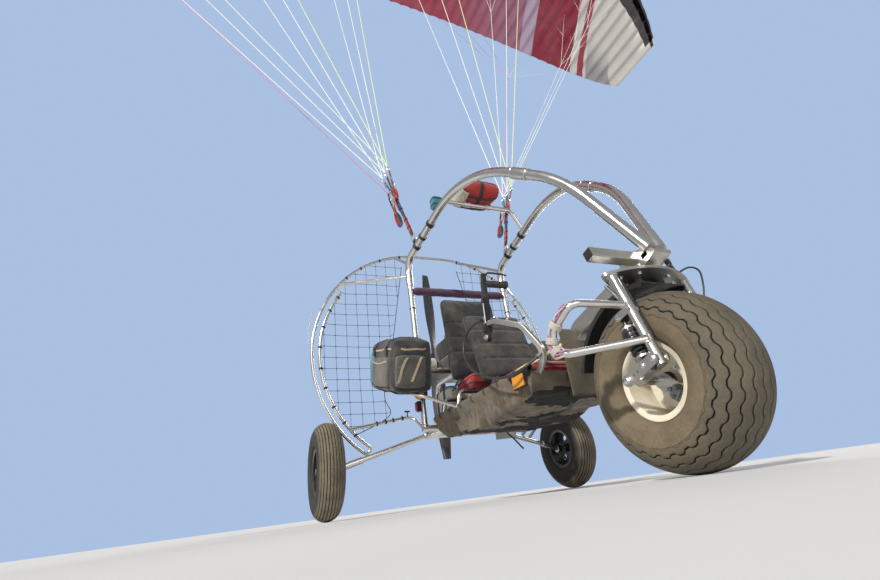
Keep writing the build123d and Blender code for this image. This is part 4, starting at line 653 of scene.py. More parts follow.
# The lines meet the solid's cells. The cloth is sewn into narrower ones.
CELLS = 36
SEWN_CELLS = 60
HANG_CHORD = 0.33
INCIDENCE = math.radians(4)
PROFILE = [
    # share of the chord behind the nose, share of the chord above the hang line, side of the skin
    (0.012, 0.000, 0.2), (0.000, 0.025, 0.5), (0.030, 0.075, 1), (0.120, 0.130, 1), (0.300, 0.155, 1),
    (0.550, 0.115, 1), (0.800, 0.050, 1), (1.000, 0.000, 0), (0.900, -0.002, -0.9), (0.550, -0.008, -1),
    (0.250, -0.015, -1), (0.060, -0.012, -0.5),
]
TRAILING = 7


def wing_chord(share):
    """The wing's chord at a share of the half span."""
    return CHORD * math.sqrt(1 - (TAPER * share) ** 2)


def wing_point(share, along, lift):
    """A place on the wing: share of the half span, share of the chord and height over the chord line."""
    angle = share * ARC
    out = Vector((0, math.sin(angle), math.cos(angle)))
    origin = at(WING_STATION - TIP_SWEEP * share ** 4, 0, ARCH_Z) + out * WING_RADIUS
    forward = X_AXIS * math.cos(INCIDENCE) + out * math.sin(INCIDENCE)
    chord = wing_chord(share)
    return origin + forward * ((HANG_CHORD - along) * chord) + out * (lift * chord)


def section(steps=6):
    """The rib's outline as a smooth line; each point also has its side and its share round the skin."""
    made = []
    top = [Vector((x, z, side)) for x, z, side in PROFILE[:TRAILING + 1]]
    low = [Vector((x, z, side)) for x, z, side in PROFILE[TRAILING:]]
    for run, upper in ((top, True), (low, False)):
        line = spline_points(run, steps)
        made += [(p.x, p.y, p.z, upper) for p in (line if upper else line[1:])]
    return made


RIB = section()
ACROSS = 8


def canopy_mesh():
    """The wing's skin, swollen between its ribs and gathered at its trailing edge."""
    points, places, tops = [], [], []
    for step in range(SEWN_CELLS * ACROSS + 1):
        share = step / (SEWN_CELLS * ACROSS) * 2 - 1
        chord = wing_chord(share)
        inside = (step % ACROSS) / ACROSS
        swell = math.sin(math.pi * inside) ** 0.85 if inside else 0.0
        for along, lift, side, upper in RIB:
            pull = 0.0
            edge = math.exp(-((1 - along) / 0.09) ** 2)
            if inside and along < 0.995:
                ripple = math.sin(TAU * along * 26 + 3 * share * CELLS) * (0.35 if upper else 0.6)
                pull = 0.0016 / chord * ripple * (1 - 4 * (inside - 0.5) ** 2)
            fullness = (0.034 if side > 0 else 0.05) / chord
            bulge = fullness * swell * side * (1 - 0.6 * edge) + pull * (1 if side > 0 else -1)
            scallop = -0.006 * swell * edge
            points.append(wing_point(share, along + scallop, lift + bulge))
            places.append((share, along))
            tops.append(1.0 if upper else 0.0)
    rows, columns = SEWN_CELLS * ACROSS + 1, len(RIB)
    faces = grid_faces(rows, columns)
    for row in (0, rows - 1):
        loop = tuple(row * columns + column for column in range(columns))
        faces.append(loop if row else loop[::-1])
    mesh = mesh_from("canopy_skin", points, faces)
    store(mesh, places, tops, [0.0] * len(points))
    return mesh


def store(mesh, places, tops, ribs):
    """Keeps each point's place on the wing for the cloth's colours."""
    for name, values in (
        ("span", [abs(place[0]) for place in places]), ("chord", [place[1] for place in places]),
        ("side", [place[0] for place in places]), ("top", tops), ("rib", ribs),
    ):
        mesh.attributes.new(name, "FLOAT", "POINT").data.foreach_set("value", values)


def canopy_cloth():
    """Coated ripstop cloth: red middle, slanting crimson and pale bands, white tips, a dark nose and painted
    shade by the seams of the lower skin.
    """
    paint = Paint("canopy_cloth", roughness=0.55, Sheen_Weight=0.15, Sheen_Roughness=0.4)
    span, chord, top = paint.attribute("span"), paint.attribute("chord"), paint.attribute("top")
    red, crimson, white = (0.42, 0.035, 0.075), (0.33, 0.006, 0.035), (0.8, 0.77, 0.71)
    grey, dark, pale = (0.3, 0.29, 0.34), (0.03, 0.024, 0.026), (0.42, 0.17, 0.26)
    slant = paint.math("SUBTRACT", span, paint.math("MULTIPLY", chord, 0.16))

    def band(value, start, end, edge=0.0012):
        """One inside the band and nought outside, with the width of a seam between."""
        into = paint.steps(value, start - edge, start + edge, 0, 1)
        out_of = paint.steps(value, end - edge, end + edge, 1, 0)
        return paint.math("MULTIPLY", into, out_of)

    color = paint.blend(paint.steps(slant, 0.18, 0.48, 0, 0.9), red, pale)
    for start, end, tone in (
        (0.5, 2, (0.55, 0.42, 0.56)), (0.545, 0.685, crimson), (0.685, 2, white), (0.71, 0.73, red),
    ):
        color = paint.blend(band(slant, start, end), color, tone)
    corner = paint.math("MULTIPLY", band(slant, 0.74, 0.82), paint.steps(chord, 0.5, 0.9, 0, 0.8))
    color = paint.blend(corner, color, grey)
    nose = paint.steps(chord, 0.15, 0.154, 1, 0)
    color = paint.blend(paint.math("MULTIPLY", nose, band(span, -1, 0.985)), color, dark)
    color = paint.blend(paint.attribute("rib"), color, (0.7, 0.68, 0.66))
    # Painted shade: the lower skin darkens towards each sewn seam, across much of each cell
    cell = paint.math("MULTIPLY", paint.math("ADD", paint.attribute("side"), 1.0), SEWN_CELLS / 2)
    within = paint.math("FRACT", paint.math("ADD", cell, 0.5))
    seam = paint.math("ABSOLUTE", paint.math("SUBTRACT", within, 0.5))
    seam_shade = paint.math("MULTIPLY", paint.steps(seam, 0.01, 0.3, 0.55, 0), paint.math("SUBTRACT", 1.0, top))
    color = paint.blend(seam_shade, color, paint.blend(0.6, color, (0.08, 0.05, 0.07)))
    soft = paint.noise(3.5, 6, 0.6)
    color = paint.blend(paint.steps(soft, 0.35, 0.7, 0, 0.1), color, (0.6, 0.5, 0.52))
    paint.color(color)
    paint.roughness(paint.steps(soft, 0.3, 0.7, 0.45, 0.62))
    paint.bump(paint.noise(7, 5, 0.55, distortion=1.2), 0.006, 0.6)
    paint.bump(paint.noise(30, 4, 0.6, distortion=0.8), 0.0014, 0.6)
    grid = paint.node("ShaderNodeTexBrick", Scale=1.0, Vector=woven_place(paint), Brick_Width=0.006,
                      Row_Height=0.006, Mortar_Size=0.0006)
    grid.offset = 0.0
    paint.bump(grid.outputs["Fac"], 0.0001)
    return paint.material


ripstop = canopy_cloth()
canopy = link("canopy_skin", canopy_mesh(), ripstop, ROOT)
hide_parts("canopy")

rib_points, rib_places, rib_faces = [], [], []
for cell in range(1, SEWN_CELLS):
    share = cell / SEWN_CELLS * 2 - 1
    start = len(rib_points)
    for along, lift, side, upper in RIB:
        if along < 0.9:
            rib_points.append(wing_point(share, along, lift * 0.985))
            rib_places.append((share, along))
    rib_faces.append(tuple(range(start, len(rib_points))))
rib_mesh = mesh_from("canopy_ribs", rib_points, rib_faces)
store(rib_mesh, rib_places, [0.0] * len(rib_points), [1.0] * len(rib_points))
link("canopy_ribs", rib_mesh, ripstop, ROOT, smooth=False)

# Risers: webbing with fingers, hardware and brake handles
EYE_STATION, EYE_Y, EYE_Z = -1109, 298, 1375
RISER_TOP = (-1136, 429, 1859)
FINGERS = [
    # place fore and aft in millimetres, share of the chord where its lines meet the skin
    (55, 0.10), (0, 0.30), (-55, 0.55),
]
LINE_RIBS = (4, 16, 28)


def riser_axes(sign):
    """The hang eye with the riser's forward, up and outward directions."""
    eye = at(EYE_STATION, sign * EYE_Y, EYE_Z)
    rise = at(RISER_TOP[0], sign * RISER_TOP[1], RISER_TOP[2]) - eye
    lift = rise.normalized()
    outward = X_AXIS.cross(lift).normalized()
    return eye, lift.cross(outward).normalized(), lift, outward, rise.length


def low_lift(share_of_chord):
    """Height of the lower skin over the chord line at a share of the chord."""
    line = [(point[0], point[1]) for point in RIB if not point[3]][::-1]
    for (x_a, z_a), (x_b, z_b) in zip(line, line[1:]):
        if x_a <= share_of_chord <= x_b:
            return z_a + (z_b - z_a) * (share_of_chord - x_a) / (x_b - x_a)
    return -0.012


lines = {"pale": Bundle(), "lime": Bundle(), "pink": Bundle()}
webbing, webbing_red, webbing_blue, hardware = Bundle(), Bundle(), Bundle(), Bundle()
LINE_R = 0.003
for sign in (-1, 1):
    eye, forward, lift, outward, length = riser_axes(sign)

    def riser_place(ahead_mm, up_mm, out_mm=0.0):
        """A place by this side's risers, from the eye they hang on."""
        return eye + forward * (ahead_mm / 1000) + lift * (up_mm / 1000) + outward * (out_mm / 1000)

    # Oval link through the hang eye, then the strap with its folds of webbing
    oval = circle(eye + lift * 0.0198, 1.0, 24, lift * 0.0235, outward * 0.0117)
    hardware.tube(oval, 0.0033, 8, closed=True)
    for folds in (((40, 0), (44, 3), (120, 2.4), (318, 2.2)), ((40, 0), (44, -3), (120, -1), (318, -1))):
        webbing.strap([riser_place(0, up_mm, out_mm) for up_mm, out_mm in folds], forward, 0.026, 0.0028, 0.2)
    for low_out, high_out in ((4.8, 4.4), (-4.8, -3.4)):
        webbing_red.strap([riser_place(0, 66, low_out), riser_place(0, 172, high_out)], forward,
                          0.024, 0.0022, 0.2)
    webbing_blue.strap([riser_place(0, 205, 4.2), riser_place(0, 262, 4.2)], forward, 0.025, 0.0022, 0.2)
    for place, chord_share in FINGERS:
        pick = webbing_red if place > 0 else webbing_blue if place < 0 else webbing
        foot = place * 0.12
        webbing.strap([riser_place(foot, 312, 0.5), riser_place(place * 0.3, 352, 0.5),
                       riser_place(place * 0.94, length * 1000 - 32, 0)], forward, 0.020, 0.0026, 0.2)
        pick.strap([riser_place(place * 0.5, 395, 2.6), riser_place(place * 0.9, length * 1000 - 44, 2.2)],
                   forward, 0.018, 0.0018, 0.2)
        top = riser_place(place, length * 1000 - 18)
        hardware.tube(circle(top, 1.0, 20, lift * 0.0175, outward * 0.0075), 0.0024, 8, closed=True)
        barrel = top + outward * 0.0078
        hardware.tube([barrel - lift * 0.006, barrel + lift * 0.006], 0.0041, 6)
        start = riser_place(place, length * 1000)
        for index, rib in enumerate(LINE_RIBS):
            tone = "lime" if place > 0 and index < 2 else "pale"
            share = sign * rib / CELLS
            target = wing_point(share, chord_share, low_lift(chord_share))
            fork_at = start + (target - start) * (0.66 - 0.06 * index)
            lines[tone].tube([start, fork_at], LINE_R, 6)
            for spread in (-2, 0, 2):
                tip_share = sign * min(35, max(1, rib + spread)) / CELLS
                tip = wing_point(tip_share, chord_share, low_lift(chord_share) - 0.0005)
                aft = min(chord_share + 0.12, 0.9)
                second = fork_at + (tip - fork_at) * 0.5
                lines["pale"].tube([fork_at, tip], LINE_R * 0.75, 5)
                back = wing_point(tip_share, aft, low_lift(aft) - 0.0005)
                lines["pink" if index == 1 else "pale"].tube([second, back], LINE_R * 0.6, 5)
                rise = (tip - fork_at).normalized()
                webbing.strap([tip - rise * 0.03, tip + rise * 0.004], X_AXIS, 0.012, 0.0015)
    # Brake line, its pulley and handle, and the fan to the trailing edge
    pulley = riser_place(-58, length * 1000 - 120, 0)
    gather = pulley + (wing_point(sign * 0.62, 0.97, 0.0) - pulley) * 0.56
    lines["pink"].tube([pulley, gather], LINE_R, 6)
    for share in (0.36, 0.44, 0.52, 0.6, 0.68, 0.76, 0.84):
        tip = wing_point(sign * share, 0.985, 0.0)
        lines["pink" if share < 0.6 else "pale"].tube([gather, tip], LINE_R * 0.65, 5)
    hardware.tube([pulley + outward * 0.004, pulley - outward * 0.004], 0.011, 14)
    handle = riser_place(-66, 205, 6)
    handle_loop = spline_points([handle + forward * (0.02 * x) + lift * (0.045 * z) + outward * 0.004 * y
                                 for x, y, z in ((0, 0, 1), (-1, 1, 0.2), (-0.9, 1, -0.8), (0, 0, -1.1),
                                                 (0.9, -1, -0.8), (1, -1, 0.2))], 6, closed=True)
    webbing_blue.tube(handle_loop, 0.0065, 8, closed=True)
    lines["lime"].tube([handle + lift * 0.045, pulley], LINE_R, 6)
    trimmer = spline_points([riser_place(-14, 300, 5), riser_place(-34, 262, 16), riser_place(-30, 180, 22),
                             riser_place(-16, 128, 26)], 6)
    webbing.strap(trimmer, forward, 0.018, 0.002, 0.2)
    hardware.block(riser_place(-12, 306, 5), (forward, outward, lift), (0.03, 0.012, 0.026), 0.2)

pale_lines = lines["pale"].piece("lines_pale", pale_cord, "line")
lines["lime"].piece("lines_lime", lime_cord, "line")
lines["pink"].piece("lines_pink", pink_cord, "line")
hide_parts("suspension_lines")
risers = webbing.piece("riser_webbing", black_strap, "webbing")
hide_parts("risers")
webbing_red.piece("riser_webbing_red", red_strap, "webbing")
webbing_blue.piece("riser_webbing_blue", blue_strap, "webbing")
hardware.piece("riser_hardware", bright_steel, "steel")


# Cage nets: knotted square mesh that sags a little between its ties
CAGE_X, CAGE_Z, CAGE_OFFSET = AXLE - 1.620, 0.868, 0.093
CAGE_INNER, CAGE_OUTER, CAGE_TUBE = 0.662, 0.706, 0.009
NET_EDGE = [(205, 1490), (315, 934), (387, 635), (366, 511)]
MESH = 0.068


def on_cage(sign, radius, degrees):
    """A place on one half of the hoop, by its angle round the half's centre."""
    turned = math.radians(180 - degrees)
    y = sign * (CAGE_OFFSET + radius * math.cos(turned))
    return Vector((CAGE_X, y, CAGE_Z + radius * math.sin(turned)))


def net_border(sign):
    """The net's free edge and the way round it along the hoop."""
    free = spline_points([(CAGE_X, sign * y / 1000, z / 1000) for y, z in NET_EDGE]
                         + [on_cage(sign, CAGE_INNER, 224)], 10)
    hoop = [on_cage(sign, CAGE_INNER, 224 - step * 2.06) for step in range(41)]
    hoop += [on_cage(sign, CAGE_OUTER, 138 - step * 1.9) for step in range(21)]
    return free, hoop


def crossings(border, axis, value):
    """Where a straight line of the net meets its border."""
    other, made = (2 if axis == 1 else 1), []
    for start, end in zip(border, border[1:] + border[:1]):
        if (start[axis] - value) * (end[axis] - value) < 0:
            share = (value - start[axis]) / (end[axis] - start[axis])
            made.append(start[other] + (end[other] - start[other]) * share)
    return sorted(made)


net = Bundle()
ties = Bundle()
for sign in (-1, 1):
    free, hoop = net_border(sign)
    border = free + hoop[1:]
    centre = Vector((CAGE_X, sign * 0.46, 0.9))

    def slack(point):
        """Moves a point of the net off its straight grid, less near the border."""
        inner = max(0.0, 1 - (point - centre).length / 0.62)
        drift = noise.noise_vector(point * 3.1 + Vector((7 * sign, 0, 0)))
        return point + Vector((-0.016 * inner, 0.0, -0.014 * inner)) + drift * 0.007 * min(1, inner * 3)

    knots = set()
    for axis in (1, 2):
        for step in range(-14, 15):
            value = (sign * 0.387 if axis == 1 else CAGE_Z) + step * MESH
            cuts = crossings(border, axis, value)
            for start, end in zip(cuts[::2], cuts[1::2]):
                count = max(2, int((end - start) / 0.017))
                run = []
                for index in range(count + 1):
                    place = start + (end - start) * index / count
                    point = Vector((CAGE_X, value, place) if axis == 1 else (CAGE_X, place, value))
                    run.append(slack(point) if 0 < index < count else point)
                net.tube(run, 0.0013, 5)
                if axis == 1:
                    first = math.ceil((start - CAGE_Z) / MESH)
                    for level in range(first, int((end - CAGE_Z) // MESH) + 1):
                        knots.add((round(value, 5), round(CAGE_Z + level * MESH, 5)))
    for y, z in knots:
        point = slack(Vector((CAGE_X, y, z)))
        net.tube([point - Vector((0, 0.004, 0.003)), point, point + Vector((0, 0.004, 0.003))],
                 [0.0012, 0.0029, 0.0012], 6)
    rope = [point + Vector((0, 0, -0.006 * math.sin(math.pi * index / (len(free) - 1))))
            for index, point in enumerate(free)]
    net.tube(rope, 0.0024, 6)
    for degrees in (100, 112, 124, 134):
        ties.tube([on_cage(sign, CAGE_OUTER, degrees - 0.45), on_cage(sign, CAGE_OUTER, degrees + 0.45)],
                  CAGE_TUBE + 0.0016, 14)
    for degrees in (146, 155, 165, 176, 187, 197, 207, 216, 224):
        ties.tube([on_cage(sign, CAGE_INNER, degrees - 0.5), on_cage(sign, CAGE_INNER, degrees + 0.5)],
                  CAGE_TUBE + 0.0016, 14)
        spot = on_cage(sign, CAGE_INNER - CAGE_TUBE - 0.003, degrees)
        ties.block(spot, BOX_AXES, (0.006, 0.006, 0.006), 0.25)
net_piece = net.piece("net_cords", net_cord, "net")
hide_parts("cage_nets")
ties.piece("cage_ties", black_plastic, "dark_plastic")

# Spring coils round the suspension units
springs = Bundle()
collars = Bundle()
SHOCK_AHEAD, SHOCK_SIDE, SHOCK_TOP, SHOCK_FOOT = -35, 150, -158, -317
COIL_TURNS, COIL_R, WIRE_R = 5.5, 0.0203, 0.005
for sign in (-1, 1):
    top, foot = (on_fork(SHOCK_AHEAD, sign * SHOCK_SIDE, height) for height in (SHOCK_TOP, SHOCK_FOOT))
    along = (foot - top).normalized()
    third = along.cross(Y_AXIS)
    length = (foot - top).length
    start, run = 0.27 * length + 0.004, 0.55 * length - 0.008
    helix = []
    for index in range(int(COIL_TURNS * 20) + 1):
        share = index / (COIL_TURNS * 20)
        angle = TAU * COIL_TURNS * share
        place = top + along * (start + run * share)
        helix.append(place + (Y_AXIS * math.cos(angle) + third * math.sin(angle)) * COIL_R)
    springs.tube(helix, WIRE_R, 10)
    for share in (0.255, 0.835):
        centre = top + along * (share * length)
        collars.tube([centre + along * shift for shift in (-0.004, -0.003, 0.003, 0.004)],
                     [0.0225, 0.0245, 0.0245, 0.0225], 28)
springs.piece("spring_coils", black_enamel, "dark_metal", "fork")
collars.piece("spring_collars", plate_metal, "fork", "fork")


# Soft goods: cushions and bags are swollen by a cloth simulation, then sewn and strapped
def evaluated(piece):
    """The piece's mesh with its modifiers in it, which takes the place of its own mesh."""
    bpy.context.view_layer.update()
    graph = bpy.context.evaluated_depsgraph_get()
    made = bpy.data.meshes.new_from_object(piece.evaluated_get(graph))
    piece.modifiers.clear()
    piece.data = made
    made.polygons.foreach_set("use_smooth", [True] * len(made.polygons))


def swell(piece, cap, voxel, pressure=4.0, frames=18):
    """Swells a closed shape as stuffed cloth. A point moves no further than the cap."""
    add_modifier(piece, "REMESH", mode="VOXEL", voxel_size=voxel)
    evaluated(piece)
    before = [vert.co.copy() for vert in piece.data.vertices]
    cloth_sim = add_modifier(piece, "CLOTH")
    cloth_sim.settings.use_pressure = True
    cloth_sim.settings.uniform_pressure_force = pressure
    cloth_sim.settings.effector_weights.gravity = 0
    cloth_sim.settings.quality = 4
    cloth_sim.collision_settings.use_collision = False
    for frame_number in range(1, frames + 1):
        bpy.context.scene.frame_set(frame_number)
    evaluated(piece)
    bpy.context.scene.frame_set(1)
    for vert, start in zip(piece.data.vertices, before):
        moved = vert.co - start
        if moved.length > cap:
            vert.co = start + moved.normalized() * cap
    add_modifier(piece, "SUBSURF", levels=1, render_levels=1)
    evaluated(piece)


def pillow(name, centre, axes, size, finish_material, crown, pinch, cap, voxel, shape=None,
           channels=()):
    """A crowned cushion or bag about a centre. Its sides pull in between its corners."""
    made = bmesh.new()
    bmesh.ops.create_cube(made, size=2.0)
    bmesh.ops.subdivide_edges(made, edges=made.edges[:], cuts=11, use_grid_fill=True)
    for vert in made.verts:
        x, y, z = vert.co
        round_x, round_y = 1 - abs(x) ** 6 * 0.05, 1 - abs(y) ** 6 * 0.05
        lift = 1 - crown * (abs(x) ** 3.2 + abs(y) ** 3.2) / 2
        placed = Vector((
            x * round_y * (1 - pinch * (1 - y * y)) * (1 - 0.06 * z * z),
            y * round_x * (1 - pinch * (1 - x * x)) * (1 - 0.06 * z * z),
            z * lift,
        ))
        if shape:
            placed = shape(placed)
        vert.co = centre + sum((axes[i] * (placed[i] * size[i] / 2) for i in range(3)), Vector())
    mesh = bpy.data.meshes.new(name)
    made.to_mesh(mesh)
    made.free()
    piece = link(name, mesh, finish_material, ROOT)
    swell(piece, cap, voxel)
    if channels:
        groove(piece, centre, axes, channels)
    return piece


def groove(piece, centre, axes, channels):
    """Presses sewn channels into a cushion; each is an axis number, a place on it, a width and a depth."""
    for vert in piece.data.vertices:
        local = vert.co - centre
        for axis, place, width, depth in channels:
            away = (local.dot(axes[axis]) - place) / width
            if abs(away) < 3:
                across = axes[2] * (1 if local.dot(axes[2]) > 0 else -1)
                vert.co -= across * depth * math.exp(-away * away)
    piece.data.update()


def on_surface(piece, points, lift=0.0006):
    """The given points moved onto the nearest place of a piece, a little off it."""
    made = []
    for point in points:
        found, place, normal, index = piece.closest_point_on_mesh(Vector(point))
        made.append(place + normal * lift if found else Vector(point))
    return made


def piping(piece, centre, axes, size, level, radius, name):
    """A round cord sewn along a cushion's edge at a level of its third axis."""
    middle = centre + axes[2] * (level * size[2])
    ring = [middle + axes[0] * (x * size[0] * 0.5) + axes[1] * (y * size[1] * 0.5)
            for x, y in squared_circle(64, 0.35)]
    cord_bundle = Bundle()
    cord_bundle.tube(on_surface(piece, ring, 0.0), radius, 8, closed=True)
    cord_bundle.piece(name, black_strap, "webbing")


def leaned(angle_degrees):
    """Three axes for a panel: along its rise, across the machine, and out of its face."""
    angle = math.radians(angle_degrees)
    rise = Vector((math.cos(angle), 0, math.sin(angle)))
    return rise, Y_AXIS, rise.cross(Y_AXIS)


# Front and rear seats: a red base and a dark back each, with black piping
SEATS = {
    # base centre, base size, back centre, back size and lean: millimetres and degrees
    "front": ((-640, 0, 444), (388, 344, 46), (-888, 0, 668), (402, 344, 44), 108.2),
    "rear": ((-1032, 0, 529), (196, 344, 58), (-1165, 0, 812), (496, 344, 34), 94.0),
}
for row, (base_at, base_size, back_at, back_size, lean) in SEATS.items():
    for part_name, place, size, axes in (
        ("base", base_at, base_size, BOX_AXES),
        ("back", back_at, back_size, leaned(lean)),
    ):
        centre, dims = at(*place), [value / 1000 for value in size]
        rows_apart = 0.085 if part_name == "back" else 0.1
        channels = [(0, (k - 1) * rows_apart, 0.008, 0.0045) for k in range(3)]
        cover = red_cloth if part_name == "base" else dark_cloth
        pad = pillow(f"seat_{row}_{part_name}", centre, axes, dims, cover, 0.24, 0.03, 0.009,
                     0.0075, channels=channels)
        if part_name == "base":
            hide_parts(f"{row}_seat")
        for level in (-0.28, 0.28):
            piping(pad, centre, axes, dims, level, 0.0028,
                   f"seat_{row}_{part_name}_piping_{'low' if level < 0 else 'top'}")
straps = Bundle()
for base_x, base_z in ((-700, 470), (-1050, 560)):
    for sign in (-1, 1):
        places = ((-60, 182, -44), (-20, 150, 8), (-10, 60, 10), (-14, 12, 10))
        line = spline_points([at(base_x + x, sign * y, base_z + z) for x, y, z in places], 8)
        straps.strap(line, X_AXIS, 0.038, 0.0022)
        straps.block(at(base_x - 13, sign * 14, base_z + 12), BOX_AXES, (0.05, 0.034, 0.012), 0.25)
straps.piece("lap_belts", black_strap, "webbing")

# Side bags with a flap, pocket, straps and buckles
PITCH = math.radians(17)
BAG_SIZE = (0.392, 0.196, 0.25)
bag_axes = (X_AXIS * math.cos(PITCH) - Z_AXIS * math.sin(PITCH), Y_AXIS,
            X_AXIS * math.sin(PITCH) + Z_AXIS * math.cos(PITCH))
for side, sign in (("right", -1), ("left", 1)):
    centre = at(-1102, sign * 452, 646)

    def slumped(p):
        """The bag hangs fuller at its bottom and its top corners droop."""
        fuller = 1 + 0.05 * max(0.0, -p.z)
        return Vector((p.x * fuller, p.y * fuller * (1 + 0.03 * math.sin(5 * p.x)),
                       p.z - 0.05 * abs(p.x) ** 3 * (1 if p.z > 0 else 0.2)))

    bag = pillow(f"side_bag_{side}", centre, bag_axes, BAG_SIZE, dark_cloth, 0.1, 0.01, 0.006,
                 0.0075, shape=slumped)
    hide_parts(f"pannier_{side}")
    pocket_centre = centre + Y_AXIS * (sign * 0.094) + bag_axes[0] * 0.02 - bag_axes[2] * 0.03
    pocket = pillow(f"side_bag_pocket_{side}", pocket_centre, bag_axes, (0.27, 0.034, 0.15), grey_cloth,
                    0.2, 0.05, 0.004, 0.006)
    front_centre = centre + bag_axes[0] * 0.19 + Y_AXIS * (sign * 0.016) - bag_axes[2] * 0.028
    front_pocket = pillow(f"side_bag_front_{side}", front_centre, bag_axes, (0.034, 0.15, 0.15),
                          grey_cloth, 0.2, 0.05, 0.004, 0.006)
    trim = Bundle()
    for shift in (-0.105, 0.105):
        middle = centre + bag_axes[0] * shift
        loop = [middle + Y_AXIS * (y * 0.11) + bag_axes[2] * (z * 0.14) for y, z in squared_circle(40, 0.5)]
        trim.hoop(on_surface(bag, loop, 0.0016), bag_axes[0], 0.024, 0.002)
        buckle = on_surface(bag, [middle + Y_AXIS * (sign * 0.1) + bag_axes[2] * 0.066], 0.004)
        trim.block(buckle[0], (bag_axes[0], bag_axes[2], Y_AXIS), (0.034, 0.042, 0.01), 0.25)
    trim.piece(f"side_bag_straps_{side}", black_strap, "webbing")
    pale = Bundle()
    zip_line = [centre + bag_axes[0] * (-0.17 + 0.34 * k / 20) + Y_AXIS * (sign * 0.12) + bag_axes[2] * 0.075
                for k in range(21)]
    pale.strap(on_surface(bag, zip_line, 0.0012), bag_axes[2], 0.009, 0.0018)
    edge_line = [pocket_centre + bag_axes[0] * (-0.118 + 0.236 * k / 16) + Y_AXIS * (sign * 0.03)
                 + bag_axes[2] * (0.05 - 0.012 * math.sin(math.pi * k / 16)) for k in range(17)]
    pale.strap(on_surface(pocket, edge_line, 0.001), bag_axes[2], 0.007, 0.0016)
    for low, high in (((-0.075, -0.05), (-0.02, 0.07)), ((0.0, -0.045), (0.05, 0.075))):
        tape = [front_centre + bag_axes[0] * 0.04 + Y_AXIS * (-sign * (low[0] + (high[0] - low[0]) * k / 12))
                + bag_axes[2] * (low[1] + (high[1] - low[1]) * k / 12) for k in range(13)]
        pale.strap(on_surface(front_pocket, tape, 0.001), Y_AXIS, 0.011, 0.0018)
    top_zip = [centre + bag_axes[0] * 0.24 + Y_AXIS * (0.078 * (1 - k / 8)) + bag_axes[2] * 0.08
               for k in range(17)]
    pale.strap(on_surface(bag, top_zip, 0.0012), bag_axes[2], 0.009, 0.0018)
    pale.piece(f"side_bag_seams_{side}", tan_cloth, "pannier")
    cap_points = []
    for k in range(13):
        for m in range(9):
            cap_points.append(centre - bag_axes[0] * (0.186 - 0.012 * m) + Y_AXIS * (sign * 0.13)
                              + bag_axes[2] * (-0.09 + 0.15 * k / 12))
    cap_mesh = mesh_from(f"side_bag_end_{side}", on_surface(bag, cap_points, 0.0025), grid_faces(13, 9))
    end_patch = link(f"side_bag_end_{side}", cap_mesh, teal_cloth if sign < 0 else tan_cloth, ROOT)
    add_modifier(end_patch, "SOLIDIFY", thickness=0.002, offset=1.0)

# Rescue pack on the roll bar: red, with a pale end and compression straps
pack_centre, pack_size = at(-872, 0, 1571), (0.190, 0.238, 0.112)


def rounded_pack(p):
    """The pack narrows towards its top."""
    return Vector((p.x * (1 - 0.1 * max(0.0, p.z)), p.y * (1 - 0.07 * max(0.0, p.z)), p.z))


pack = pillow("rescue_container", pack_centre, BOX_AXES, pack_size, red_cloth, 0.4, 0.02,
              0.008, 0.006, shape=rounded_pack)
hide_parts("rescue_pack")
piping(pack, pack_centre, BOX_AXES, pack_size, 0.18, 0.0024, "rescue_piping")
pack_trim = Bundle()
for across, along, shift in ((X_AXIS, Y_AXIS, -0.05), (X_AXIS, Y_AXIS, 0.05), (Y_AXIS, X_AXIS, 0.0)):
    loop = [pack_centre + across * shift + along * (out * 0.14) + Z_AXIS * (rise * 0.075)
            for out, rise in squared_circle(48, 0.5)]
    pack_trim.hoop(on_surface(pack, loop, 0.0014), across, 0.02, 0.002)
pack_trim.piece("rescue_straps", black_strap, "webbing")
flap_points = []
for k in range(13):
    for m in range(13):
        angle = math.radians(-62 + 108 * k / 12)
        flap_points.append(pack_centre + Y_AXIS * (-0.17 * math.cos(angle)) + Z_AXIS * (0.1 * math.sin(angle))
                           + X_AXIS * ((m - 6) * 0.0135))
flap_mesh = mesh_from("rescue_flap", on_surface(pack, flap_points, 0.0030), grid_faces(13, 13))
rescue_flap = link("rescue_flap", flap_mesh, cream_cloth, ROOT)
add_modifier(rescue_flap, "SOLIDIFY", thickness=0.0022, offset=1.0)

# Rolled pouch under the roll bar's end
pouch_centre = at(-832, -268, 1441)
pouch = pillow("tool_roll", pouch_centre, BOX_AXES, (0.05, 0.056, 0.074), teal_cloth, 0.3, 0.02,
               0.004, 0.004)
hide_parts("tool_pouch")
pouch_trim = Bundle()
for level in (-0.018, 0.02):
    oval = circle(pouch_centre + Z_AXIS * level, 1.0, 28, X_AXIS * 0.04, Y_AXIS * 0.045)
    pouch_trim.hoop(on_surface(pouch, oval, 0.001), Z_AXIS, 0.008, 0.0016)
pouch_trim.piece("tool_roll_straps", black_strap, "webbing")

# Padded sleeve on the tube between the masts
sleeve = Bundle()
rows, lengthwise = [], 96
for index in range(lengthwise + 1):
    share = index / lengthwise
    y = -0.289 + 0.578 * share
    ends = min(share, 1 - share) * lengthwise
    gathered = 1 - 0.42 * math.exp(-ends / 1.6)
    sewn = 1 - 0.05 * math.exp(-((share * 6 % 1 - 0.5) / 0.05) ** 2)
    rows.append([
        at(-1236, 0, 1120) + Vector((math.cos(a), 0, math.sin(a)))
        * (0.0238 * gathered * sewn * (1 + 0.03 * math.sin(3 * a + 40 * share)))
        + Y_AXIS * y for a in (TAU * k / 28 for k in range(28))])
sleeve.grid(rows, caps=True)
sleeve_piece = sleeve.piece("mast_sleeve", purple_cloth, "pad")
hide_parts("cross_pad")

# Belly bag: one sheet of cloth wrapped over the side tubes, sagging between its lashings
BAG_FRONT, BAG_REAR = -345, -1246
BAG_LOW = [(BAG_FRONT, 318), (-620, 268), (-1120, 282), (BAG_REAR, 318)]


